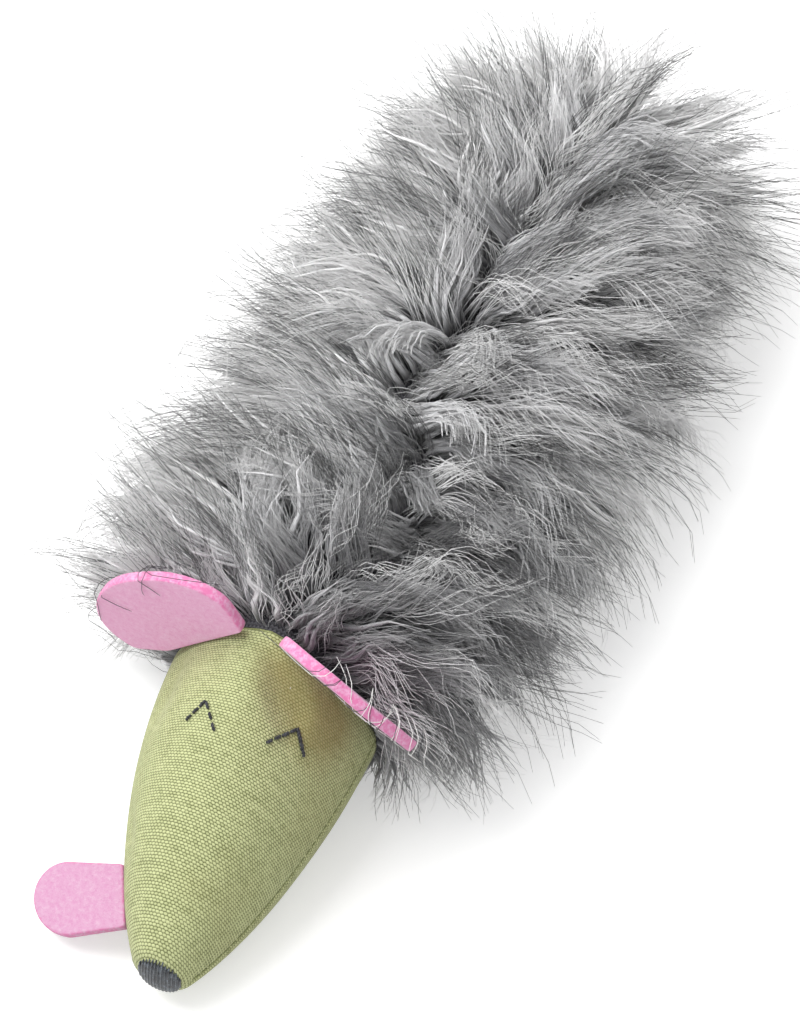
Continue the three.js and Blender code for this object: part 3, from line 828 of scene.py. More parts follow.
def add_piece(name: str, mesh: Mesh, material: Material) -> Object:
    """Adds a mesh to the scene as a piece with one finish."""
    piece = bpy.data.objects.new(name, mesh)
    bpy.context.scene.collection.objects.link(piece)
    mesh.materials.clear()
    mesh.materials.append(material)
    return piece


def keep_value(mesh: Mesh, name: str, values: Array) -> None:
    """Stores a number or a vector for each vertex under a name."""
    kind, key = ("FLOAT_VECTOR", "vector") if values.ndim == 2 else ("FLOAT", "value")
    made = mesh.attributes.new(name, kind, "POINT")
    made.data.foreach_set(key, values.astype(np.float32).ravel())


CLOTH = {
    "quality": 6,
    "mass": 0.002,
    "tension_stiffness": 12.0,
    "compression_stiffness": 12.0,
    "bending_stiffness": 0.4,
    "vertex_group_mass": "sewn",
    "use_pressure": True,
}
SETTLING_FRAMES = 20


def swell(
    points: Array,
    faces: Sequence[Sequence[int]],
    held: Sequence[int],
    pressure: float,
    most: float,
) -> Array:
    """Fills a closed skin with stuffing, as cloth under pressure.

    Args:
        points: The skin's points, in pattern millimetres.
        faces: Its faces.
        held: Points that are sewn down and stay where they are.
        pressure: How hard the stuffing pushes.
        most: How far a point may move, in millimetres.

    Returns:
        The points after the cloth has settled.
    """
    mesh = bpy.data.meshes.new("swelling_skin")
    mesh.from_pydata(placed(points).tolist(), [], faces)
    mesh.update()
    skin = bpy.data.objects.new("swelling_skin", mesh)
    bpy.context.scene.collection.objects.link(skin)
    skin.vertex_groups.new(name="sewn").add([int(k) for k in held], 1.0, "REPLACE")
    cloth = skin.modifiers.new("cloth", "CLOTH")
    for name, value in CLOTH.items():
        setattr(cloth.settings, name, value)
    cloth.settings.uniform_pressure_force = pressure
    cloth.settings.effector_weights.gravity = 0.0
    cloth.collision_settings.use_collision = False
    cloth.collision_settings.use_self_collision = False
    scene = bpy.context.scene
    for number in range(SETTLING_FRAMES):
        scene.frame_set(number + 1)
    settled = skin.evaluated_get(bpy.context.evaluated_depsgraph_get()).to_mesh()
    moved = np.zeros(len(points) * 3)
    settled.vertices.foreach_get("co", moved)
    after = unplaced(moved.reshape(-1, 3))
    bpy.data.objects.remove(skin)
    scene.frame_set(1)
    shift = after - points
    length = norm(shift, axis=1, keepdims=True)
    log.info("swelling: furthest %.2f mm, mean %.2f mm", length.max(), length.mean())
    return points + shift * (most / np.maximum(length, most))


# The pattern's cross-sections


@dataclass
class Section:
    """Superellipse cross-sections: a middle, a half-width, and a top and bottom half that differ."""

    x: Array
    z: Array
    half_width: Array
    top: Array
    bottom: Array
    top_power: Array
    bottom_power: float

    def point(self, y: Array, angle: Array, inset: float = 0.0) -> Array:
        """Points of the sections, moved in by an inset and kept above the floor."""
        across, rise = np.cos(angle), np.sin(angle)
        power = 2 / np.where(rise >= 0, self.top_power, self.bottom_power)
        reach = np.where(rise >= 0, self.top - self.z, self.z - self.bottom)
        x = self.x + np.sign(across) * np.abs(across) ** power * (self.half_width - inset)
        z = self.z + np.sign(rise) * np.abs(rise) ** power * (reach - inset)
        floor = max(inset, 0.0)
        return np.stack(np.broadcast_arrays(x, y, np.maximum(z, floor)), axis=-1)


@dataclass
class HeadPattern:
    """The sizes of the canvas head, from the neck seam to the tip of the nose."""

    length: float = 74.0
    neck_width: float = 56.0
    neck_top: float = 60.0
    neck_bottom: float = 4.0
    neck_seam_height: float = 29.0
    neck_offset: float = 0.8
    nose_width: float = 9.2
    nose_top: float = 17.0
    nose_bottom: float = 5.0
    nose_seam_height: float = 10.0
    nose_drift: float = 4.5
    nose_rounding: float = 3.0
    brow_roundness: float = 1.45
    cheek_roundness: float = 2.0
    jaw_roundness: float = 2.2
    contact_depth: float = 0.5

    @property
    def cap_start(self) -> float:
        """The share of the length at which the tip of the nose starts to round off."""
        return 1 - self.nose_rounding / self.length

    def section(self, share: Array) -> Section:
        """The sections at shares of the head's length."""
        share = np.asarray(share, float)
        into_cap = np.maximum(0, (share - self.cap_start) / (1 - self.cap_start))
        cap = np.sqrt(np.maximum(0, 1 - into_cap**2))
        z = lerp(self.neck_seam_height, self.nose_seam_height, share)
        taper = (1 - share**1.75) ** 0.75
        crown = (1 - share**1.9) ** 0.8
        neck_rise = (self.neck_bottom + self.contact_depth) * (1 - eased(share, 0, 0.3))
        nose_rise = (self.nose_bottom + self.contact_depth) * eased(share, 0.55, 1)
        bottom = neck_rise + nose_rise - self.contact_depth
        top = z + lerp(
            self.nose_top - self.nose_seam_height, self.neck_top - self.neck_seam_height, crown
        )
        return Section(
            x=self.neck_offset + self.nose_drift * (share**2 - 0.15 * share),
            z=z,
            half_width=cap * lerp(self.nose_width, self.neck_width, taper) / 2,
            top=z + cap * (top - z),
            bottom=z - cap * (z - bottom),
            top_power=lerp(self.brow_roundness, self.cheek_roundness, np.minimum(1, share / 0.6)),
            bottom_power=self.jaw_roundness,
        )

    def point(self, share: Array, angle: Array, inset: float = 0.0) -> Array:
        """Points of the head's skin."""
        share = np.asarray(share, float)
        y = NECK_Y - share * (self.length - inset)
        return self.section(share).point(y, angle, inset)


@dataclass
class SleevePattern:
    """The sizes of the stuffed sleeve, from the neck seam to its closed end."""

    head: HeadPattern = field(default_factory=HeadPattern)
    width: float = 68.0
    height: float = 55.0
    bow: float = 5.0
    shift: float = 1.0
    neck_taper: float = 25.0
    tail_rounding: float = 30.0
    under_depth: float = 5.0
    roundness: float = 2.2

    def middle(self, y: Array) -> Array:
        """How far the sleeve's middle line lies to the side."""
        along = np.minimum((np.asarray(y) - NECK_Y) / (TAIL_Y - NECK_Y), 1)
        return self.bow * np.sin(math.pi * along) - self.shift

    def section(self, y: Array) -> Section:
        """The sections at places along the sleeve."""
        y = np.asarray(y, float)
        neck = self.head.section(np.zeros_like(y))
        opened = eased(y, NECK_Y, NECK_Y + self.neck_taper)
        into = np.clip((y - (TAIL_Y - self.tail_rounding)) / self.tail_rounding, 0, 1)
        end = np.sqrt(np.maximum(0, 1 - into**2))
        z = lerp(neck.z, self.under_depth + self.height / 2, opened)
        return Section(
            x=lerp(neck.x, self.middle(y), opened),
            z=z,
            half_width=end * lerp(neck.half_width, self.width / 2, opened),
            top=z + end * lerp(neck.top - neck.z, self.height / 2, opened),
            bottom=z - end * lerp(neck.z - neck.bottom, self.height / 2, opened),
            top_power=lerp(neck.top_power, self.roundness, opened),
            bottom_power=self.roundness,
        )


def even_rings(sampler: Callable[[Array], Array], columns: int, crowding: float) -> Array:
    """Spaces the points of each ring along its upper and its lower half.

    Args:
        sampler: Gives rows by angles by 3 points for a list of angles.
        columns: How many points a ring gets; an even number.
        crowding: How much closer the points lie near the side seams, from 0 to 1.

    Returns:
        Rows by columns by 3 points. Column 0 lies on the right side seam, half-way on the left.
    """
    share = np.linspace(0, 1, columns // 2 + 1)[:-1]
    wanted = share - crowding * np.sin(2 * math.pi * share) / (2 * math.pi)
    halves = []
    for start in (0.0, math.pi):
        dense = sampler(np.linspace(start, start + math.pi, 721))
        steps = norm(np.diff(dense, axis=1), axis=2)
        run = np.concatenate([np.zeros((len(dense), 1)), np.cumsum(steps, axis=1)], axis=1)
        halves.append(np.array([at_run(wanted * r[-1], r, ring) for ring, r in zip(dense, run)]))
    return np.concatenate(halves, axis=1)


# Stitches


class StitchTree(Shaper):
    """Two-ply stitches laid end to end along routes."""

    points: int = 15
    sides: int = 7
    ply_gap: float = 0.8

    def __init__(self) -> None:
        """Builds the whole tree."""
        super().__init__("stitches", ("Pitch", "Share", "Ply", "Arch", "Turns"))
        routes = self.made("MeshToCurve", {0: self.base()})
        node = self.add("GeometryNodeCurveToPoints", {"mode": "EVALUATED"}, {"Curve": routes})
        tangent = Arrow(self, self.out(node, "Tangent"))
        spots = self.store(self.out(node, "Points"), "heading", tangent)
        turned = self.add(
            "FunctionNodeAxesToRotation",
            {"primary_axis": "X", "secondary_axis": "Z"},
            {0: self.named_arrow("heading"), 1: self.named_arrow("up")},
        )
        jitter = self.random(0.9, 1.1, 3)
        laid = self.made(
            "InstanceOnPoints",
            {
                "Points": spots,
                "Instance": self.stitch(),
                "Rotation": self.out(turned),
                "Scale": self.joined(jitter, jitter, 1.0),
            },
        )
        self.finish(laid)

    def stitch(self) -> NodeSocket:
        """One stitch: two plies twisted round each other, arched up off the cloth."""
        both = self.add("GeometryNodeJoinGeometry")
        for phase in (0.0, math.pi):
            line = self.made("CurvePrimitiveLine", {}, {"mode": "POINTS"})
            curve = self.made("ResampleCurve", {"Curve": line, "Count": self.points})
            s = self.along_curve()
            turn = s * self.given("Turns") * (2 * math.pi) + phase
            length = self.given("Pitch") * self.given("Share")
            reach = self.given("Ply") * self.ply_gap
            arch = (1.0 - (s * 2.0 - 1.0) ** 2.0) * self.given("Arch")
            spot = self.joined((s - 0.5) * length, turn.cos() * reach, turn.sin() * reach + arch)
            moved = self.made("SetPosition", {"Geometry": curve, "Position": spot})
            taper = (1.0 - (s * 2.0 - 1.0).size() ** 6.0 * 0.5) * self.given("Ply")
            self.tree.links.new(self.tube(moved, self.sides, taper), both.inputs[0])
        return self.out(both)


class LaidThreadTree(Shaper):
    """Long threads laid side by side along routes, as in satin stitch."""

    sides: int = 8

    def __init__(self) -> None:
        """Builds the whole tree."""
        super().__init__("laid_threads", ("Radius",))
        routes = self.made("MeshToCurve", {0: self.base()})
        taper = (1.0 - (self.along_curve() * 2.0 - 1.0).size() ** 8.0 * 0.6) * self.given("Radius")
        self.finish(self.tube(routes, self.sides, taper))


@dataclass(frozen=True)
class Stitch:
    """The sizes of one kind of stitch, in millimetres.

    Attributes:
        ply: The radius of one ply of its thread.
        share: How much of the pitch the thread covers.
        arch: How far its middle stands up off the cloth.
        turns: How often its plies twist round each other.
        lift: How far its route lies over the cloth.
    """

    ply: float
    share: float
    arch: float
    turns: float
    lift: float

    def inputs(self, pitch: float, seed: int, thicker: float = 1.0) -> dict[str, float]:
        """What the stitches' tree takes.

        Args:
            pitch: The distance from one stitch to the next.
            seed: The seed of everything random.
            thicker: A factor on the thread's thickness.

        Returns:
            The tree's inputs by title.
        """
        return {
            "Pitch": pitch * MM,
            "Share": self.share,
            "Ply": self.ply * MM * thicker,
            "Arch": self.arch * MM,
            "Turns": self.turns,
            "Seed": seed,
        }


def routes_mesh(name: str, routes: Sequence[Array], ups: Sequence[Array]) -> Mesh:
    """A mesh of loose edges along routes.

    Args:
        name: The mesh's name.
        routes: Lists of pattern points.
        ups: The direction away from the cloth at each point.

    Returns:
        The mesh, in frame metres, with the directions stored as "up".
    """
    points, edges = [], []
    for route in routes:
        start = len(points)
        points += list(route)
        edges += [(start + k, start + k + 1) for k in range(len(route) - 1)]
    mesh = bpy.data.meshes.new(name)
    mesh.from_pydata(placed(points).tolist(), edges, [])
    keep_value(mesh, "up", np.vstack(ups))
    return mesh


@dataclass
class Sewing:
    """A mesh in the making: points, faces, and where each face's corners lie on the flat cloth."""

    points: list[Array] = field(default_factory=list)
    faces: list[list[int]] = field(default_factory=list)
    spots: list[Array] = field(default_factory=list)

    def add(self, points: Array, faces: Array, spots: Array) -> int:
        """Adds points and the faces between them.

        Args:
            points: Points in pattern millimetres.
            faces: Each face's corners, numbered among these points.
            spots: Each corner's place on the flat cloth, in millimetres.

        Returns:
            The number of the first point in the whole mesh.
        """
        start = sum(len(part) for part in self.points)
        self.points.append(np.asarray(points, float).reshape(-1, 3))
        self.join(np.asarray(faces) + start, spots)
        return start

    def join(self, faces: Array, spots: Array) -> None:
        """Adds faces between points that are there already."""
        self.faces += np.asarray(faces).tolist()
        self.spots.append(np.asarray(spots, float).reshape(-1, 2))

    def mesh(self, name: str, layer: str = "weave") -> Mesh:
        """Makes the smooth mesh, in frame metres, with its map."""
        mesh = bpy.data.meshes.new(name)
        mesh.from_pydata(placed(np.vstack(self.points)).tolist(), [], self.faces)
        spots = np.vstack(self.spots) * MM
        made = mesh.uv_layers.new(name=layer)
        made.uv.foreach_set("vector", spots.astype(np.float32).ravel())
        mesh.polygons.foreach_set("use_smooth", [True] * len(mesh.polygons))
        mesh.update()
        return mesh


@dataclass
class Skin:
    """A skin over the stuffing, open at its first ring and closed on a tip after its last.

    Attributes:
        rings: Rows by columns by 3 points, in pattern millimetres.
        tip: The point that closes the last ring.
    """

    rings: Array
    tip: Array

    def __post_init__(self) -> None:
        """Measures the cloth, and finds which way is out."""
        rows, columns = self.rings.shape[:2]
        half = columns // 2
        step = norm(np.roll(self.rings, -1, axis=1) - self.rings, axis=2)
        self.start = np.zeros((rows, columns))
        for first in (0, half):
            part = slice(first, first + half)
            run = np.cumsum(step[:, part], axis=1)
            self.start[:, part] = run - step[:, part] - run[:, -1:] / 2
        self.end = self.start + step
        middle = self.rings[:, [half // 2, half + half // 2]].mean(axis=1)
        self.along = run_of(middle)
        around = np.roll(self.rings, -1, axis=1) - np.roll(self.rings, 1, axis=1)
        raw = np.cross(around, np.gradient(self.rings, axis=0))
        middles = self.rings.mean(axis=1, keepdims=True)
        self.turned = bool(np.sum(raw * (self.rings - middles)) < 0)
        raw = -raw if self.turned else raw
        self.normals = raw / np.maximum(norm(raw, axis=2, keepdims=True), 1e-9)
        self.around = around / norm(around, axis=2, keepdims=True)

    def facing(self, faces: Array, spots: Array) -> tuple[Array, Array]:
        """Turns faces that follow the rings' order so that they face out."""
        return (faces[:, ::-1], spots[:, ::-1]) if self.turned else (faces, spots)

    def sheet(self, first: int, last: int) -> tuple[Array, Array]:
        """Faces between two rows, and their places on the cloth.

        Args:
            first: The first row.
            last: The last row.

        Returns:
            Corners numbered from the first row's first point, and the corners' places.
        """
        columns = self.rings.shape[1]
        start, end = self.start[first : last + 1], self.end[first : last + 1]
        along = np.repeat(self.along[first : last + 1, None], columns, axis=1)
        corners = [
            (start[:-1], along[:-1]),
            (end[:-1], along[:-1]),
            (end[1:], along[1:]),
            (start[1:], along[1:]),
        ]
        spots = np.stack([np.stack(corner, axis=2) for corner in corners], axis=2)
        return self.facing(bands(last - first + 1, columns), spots.reshape(-1, 4, 2))

    def tip_fan(self) -> tuple[Array, Array]:
        """Faces from the last ring to the tip, numbered from the ring's first point."""
        columns = self.rings.shape[1]
        k = np.arange(columns)
        faces = np.stack([k, (k + 1) % columns, np.full(columns, columns)], axis=1)
        end = np.full(columns, self.along[-1])
        spots = np.stack(
            [
                np.stack([self.start[-1], end], axis=1),
                np.stack([self.end[-1], end], axis=1),
                np.stack([(self.start[-1] + self.end[-1]) / 2, end + 0.5], axis=1),
            ],
            axis=1,
        )
        return self.facing(faces, spots)

    def outside(self, name: str, first: int, last: int) -> Mesh:
        """The outer face alone between two rows, with the tip if the last row is the skin's."""
        sewing = Sewing()
        columns = self.rings.shape[1]
        sewing.add(self.rings[first : last + 1], *self.sheet(first, last))
        if last == len(self.rings) - 1:
            faces, spots = self.tip_fan()
            sewing.points.append(self.tip[None, :])
            sewing.join(faces + (last - first) * columns, spots)
        return sewing.mesh(name)

    def shell(self, name: str, first: int, last: int, thickness: float) -> Mesh:
        """A stretch of the skin as closed cloth of a thickness.

        Args:
            name: The mesh's name.
            first: The first row.
            last: The last row; the skin's last row takes the tip with it.
            thickness: The cloth's thickness, in millimetres.

        Returns:
            The closed mesh.
        """
        sewing = Sewing()
        columns = self.rings.shape[1]
        part = slice(first, last + 1)
        faces, spots = self.sheet(first, last)
        outer = sewing.add(self.rings[part], faces, spots)
        lining = self.rings[part] - self.normals[part] * thickness
        inner = sewing.add(lining, faces[:, ::-1], spots[:, ::-1])
        k = np.arange(columns)
        nearby = (k + 1) % columns
        edges = [(first, 0, False)]
        if last < len(self.rings) - 1:
            edges.append((last, (last - first) * columns, True))
        for row, offset, is_last in edges:
            a, b = (k, nearby) if is_last else (nearby, k)
            band = np.stack([a, b, b + inner, a + inner], axis=1) + offset
            here = np.full(columns, self.along[row])
            there = here + (thickness if is_last else -thickness)
            u = (self.start[row], self.end[row]) if is_last else (self.end[row], self.start[row])
            places = [(u[0], here), (u[1], here), (u[1], there), (u[0], there)]
            sides = np.stack([np.stack(place, axis=1) for place in places], axis=1)
            sewing.join(*self.facing(band, sides))
        if last == len(self.rings) - 1:
            inward = self.rings[-1].mean(axis=0) - self.tip
            depth = thickness * inward / max(float(norm(inward)), 1e-6)
            faces, spots = self.tip_fan()
            base = (last - first) * columns
            tips = sum(len(part) for part in sewing.points)
            sewing.points.append(np.stack([self.tip, self.tip + depth]))
            outer_fan = np.where(faces == columns, tips, faces + base + outer)
            inner_fan = np.where(faces == columns, tips + 1, faces + base + inner)
            sewing.join(outer_fan, spots)
            sewing.join(inner_fan[:, ::-1], spots[:, ::-1])
        return sewing.mesh(name)

    def swollen(self, pressure: float, most: float) -> "Skin":
        """The skin after the stuffing has filled it.

        Args:
            pressure: How hard the stuffing pushes.
            most: How far a point may move, in millimetres.

        Returns:
            The new skin.
        """
        rows, columns = self.rings.shape[:2]
        mouth = self.rings[0].mean(axis=0)
        points = np.vstack([self.rings.reshape(-1, 3), self.tip, mouth])
        faces, _ = self.sheet(0, rows - 1)
        fan, _ = self.tip_fan()
        k = np.arange(columns)
        lid = np.stack([(k + 1) % columns, k, np.full(columns, rows * columns + 1)], axis=1)
        lid = lid[:, ::-1] if self.turned else lid
        every = faces.tolist() + (fan + (rows - 1) * columns).tolist() + lid.tolist()
        held = [*range(columns), rows * columns + 1]
        after = swell(points, every, held, pressure, most)
        return Skin(after[: rows * columns].reshape(rows, columns, 3), after[rows * columns])

    def tree(self) -> BVHTree:
        """The outer face, ready to be met by lines from above."""
        rows, columns = self.rings.shape[:2]
        faces, _ = self.sheet(0, rows - 1)
        fan, _ = self.tip_fan()
        points = [Vector(point) for point in [*self.rings.reshape(-1, 3), self.tip]]
        every = faces.tolist() + (fan + (rows - 1) * columns).tolist()
        return BVHTree.FromPolygons(points, every)


# The head


@dataclass(frozen=True)
class Dent:
    """A soft hollow in the stuffed canvas, long in one direction."""

    centre: Point
    way: Point
    long: float
    short: float
    depth: float

    def shift(self, points: Array) -> Array:
        """How deep the hollow is at each point, in millimetres."""
        way = np.array(self.way) / norm(self.way)
        away = points - np.array(self.centre)
        along = away @ way
        across = norm(away - along[..., None] * way, axis=-1)
        return self.depth * np.exp(-((along / self.long) ** 2) - (across / self.short) ** 2)


@dataclass(frozen=True)
class Stroke:
    """One straight stroke of an embroidered eye, seen from above."""

    start: tuple[float, float]
    end: tuple[float, float]
    stitches: int


@dataclass
class Head:
    """The canvas head with its seams, closed eyes and stitched nose."""

    wardrobe: Wardrobe
    pattern: HeadPattern = field(default_factory=HeadPattern)
    columns: int = 120
    rows: int = 78
    cap_rows: int = 7
    crowding: float = 0.6
    canvas_thickness: float = 0.9
    pressure: float = 4.0
    most_swelling: float = 1.0
    deepest: float = 1.1
    seam_pinch: float = 0.6
    seam_spread: float = 0.9
    floor_gap: float = 0.02
    dents: tuple[Dent, ...] = (
        Dent((10.5, -97.0, 52.0), (0.62, -0.72, -0.3), 10.0, 4.0, 2.3),
        Dent((3.0, -89.0, 59.0), (1.0, -0.6, -0.2), 8.0, 3.0, 1.2),
        Dent((-22.0, -98.0, 38.6), (0.2, -1.0, -0.4), 9.0, 4.0, 1.5),
        Dent((-16.0, -131.0, 25.5), (0.5, -0.8, -0.2), 7.0, 3.5, 1.2),
        Dent((14.0, -128.0, 30.0), (0.3, -1.0, -0.5), 16.0, 4.0, 0.6),
    )
    eyes: tuple[tuple[str, tuple[Stroke, ...]], ...] = (
        (
            "left_eye",
            (Stroke((-10.6, -109.3), (-7.4, -104.1), 3), Stroke((-7.4, -104.1), (-1.8, -110.9), 3)),
        ),
        (
            "right_eye",
            (Stroke((10.1, -108.0), (14.7, -99.9), 4), Stroke((14.7, -99.9), (18.4, -104.4), 4)),
        ),
    )
    eye_stitch: Stitch = Stitch(0.23, share=0.8, arch=0.3, turns=1.25, lift=0.22)
    heavier_eye: str = "right_eye"
    seam_pitch: float = 2.4
    seam_ends: tuple[float, float] = (1.2, 1.0)
    seam_stitch: Stitch = Stitch(0.17, share=0.82, arch=0.12, turns=1.5, lift=0.05)
    nose_threads: int = 26
    nose_thread_radius: float = 0.29
    nose_middle: tuple[float, float] = (4.9, 11.8)
    nose_half: tuple[float, float] = (5.5, 6.3)
    nose_spread: float = 0.97
    nose_jags: tuple[float, float] = (-0.4, 0.5)
    nose_jitter: float = 0.3
    nose_tuck: float = 0.5

    def build(self) -> None:
        """Builds and dresses the head."""
        self.skin = self.shape()
        self.canvas()
        self.side_seams()
        self.closed_eyes()
        self.nose()

    def shape(self) -> Skin:
        """The canvas's outer face: the swept pattern, filled, pinched at the seams and dented."""
        cap_start = self.pattern.cap_start
        turns = np.linspace(0, math.pi / 2, self.cap_rows + 1)[1:-1]
        straight = np.linspace(0, cap_start, self.rows)
        cap = cap_start + (1 - cap_start) * np.sin(turns)
        shares = np.concatenate([straight, cap])[:, None]
        rings = even_rings(
            lambda angles: self.pattern.point(shares, angles[None, :]), self.columns, self.crowding
        )
        end = self.pattern.section(np.array(1.0))
        tip = np.array([float(end.x), NECK_Y - self.pattern.length, float(end.z)])
        plain_skin = skin = Skin(rings, tip)
        skin = skin.swollen(self.pressure, self.most_swelling)
        half = self.columns // 2
        inward = np.zeros(skin.rings.shape[:2])
        for seam in (0, half):
            away = norm(skin.rings - skin.rings[:, seam : seam + 1], axis=2)
            inward += self.seam_pinch * np.exp(-((away / self.seam_spread) ** 2))
        for dent in self.dents:
            inward += dent.shift(skin.rings)
        swelling = np.sum((skin.rings - plain_skin.rings) * skin.normals, axis=2)
        inward = np.minimum(inward, self.deepest + swelling)
        inward[-self.cap_rows :] = 0
        rings = skin.rings - skin.normals * inward[..., None]
        rings[..., 2] = np.maximum(rings[..., 2], self.floor_gap)
        return Skin(rings, skin.tip)

    def canvas(self) -> None:
        """The two canvas panels, sewn into one skin with a thickness."""
        mesh = self.skin.shell("head_canvas", 0, len(self.skin.rings) - 1, self.canvas_thickness)
        piece = add_piece("head_canvas", mesh, self.wardrobe.canvas)
        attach(piece, "head")
        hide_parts("head_top_panel", "head_under_panel")
        report(piece)

    def side_seams(self) -> None:
        """Small green stitches sunk along both side seams."""
        half = self.columns // 2
        tree = StitchTree()
        for name, seam in (("right_side_seam", 0), ("left_side_seam", half)):
            line = self.skin.rings[: -self.cap_rows, seam]
            normals = self.skin.normals[: -self.cap_rows, seam]
            run = run_of(line)
            spots = np.arange(self.seam_ends[0], run[-1] - self.seam_ends[1], self.seam_pitch)
            route, ups = at_run(spots, run, line), at_run(spots, run, normals)
            piece = tree.run(
                f"{name}_stitches",
                routes_mesh(name, [route + ups * self.seam_stitch.lift], [ups]),
                self.wardrobe.green_thread,
                self.seam_stitch.inputs(self.seam_pitch, 11 + seam),
            )
            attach(piece, "head")
            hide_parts(f"{name}_thread")
            report(piece)

    def closed_eyes(self) -> None:
        """Two strokes of backstitch for each closed eye."""
        tree = StitchTree()
        surface = self.skin.tree()
        for name, strokes in self.eyes:
            routes, ups = [], []
            for stroke in strokes:
                shares = (np.arange(stroke.stitches) + 0.5) / stroke.stitches
                route, normals = [], []
                for share in shares:
                    x, y = lerp(np.array(stroke.start), np.array(stroke.end), share)
                    spot, normal, _, _ = surface.ray_cast(Vector((x, y, 200)), Vector((0, 0, -1)))
                    route.append(np.array(spot + normal * self.eye_stitch.lift))
                    normals.append(np.array(normal))
                routes.append(np.array(route))
                ups.append(np.array(normals))
            pitch = norm(routes[0][1] - routes[0][0])
            piece = tree.run(
                f"{name}_stitching",
                routes_mesh(name, routes, ups),
                self.wardrobe.dark_thread,
                self.eye_stitch.inputs(float(pitch), 5, 1.2 if name == self.heavier_eye else 1.0),
            )
            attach(piece, "head")
            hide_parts(f"{name}_stitches")
            report(piece)

    def nose(self) -> None:
        """Satin stitches from top to bottom over the tip, with a jagged edge."""
        rng = np.random.default_rng(41)
        surface = self.skin.tree()
        routes, ups = [], []
        count = self.nose_threads
        for k in range(count):
            share = lerp(-self.nose_spread, self.nose_spread, k / (count - 1))
            reach = self.nose_half[1] * math.sqrt(1 - share**2)
            x = self.nose_middle[0] + share * self.nose_half[0]
            jag = self.nose_jags[k % 2] + rng.uniform(-self.nose_jitter, self.nose_jitter)
            heights = self.nose_middle[1] + np.linspace(reach + jag, -reach, 17)
            route, normals = [], []
            for z in heights:
                spot, normal, _, _ = surface.ray_cast(Vector((x, -300, z)), Vector((0, 1, 0)))
                if spot is not None:
                    lift = self.nose_thread_radius * (0.75 + 0.5 * (k % 2))
                    route.append(np.array(spot + normal * lift))
                    normals.append(np.array(normal))
            for end in (0, -1):
                route[end] -= normals[end] * self.nose_tuck
            routes.append(np.array(route))
            ups.append(np.array(normals))
        piece = LaidThreadTree().run(
            "nose_satin_stitch",
            routes_mesh("nose", routes, ups),
            self.wardrobe.satin_thread,
            {"Radius": self.nose_thread_radius * MM, "Seed": 3},
        )
        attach(piece, "head")
        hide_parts("nose_embroidery")
        report(piece)


# Felt


@dataclass(frozen=True)
class Strays:
    """Loose hairs of the pile that hang over the rim of a flap, in front of it.

    Attributes:
        title: The colour, for the piece's name.
        count: How many hairs there are.
        finish: Their material.
        longest: How far down the front the longest one reaches, in millimetres.
        radius: Their radius, in millimetres.
    """

    title: str
    count: int
    finish: Material
    longest: float
    radius: float = 0.085


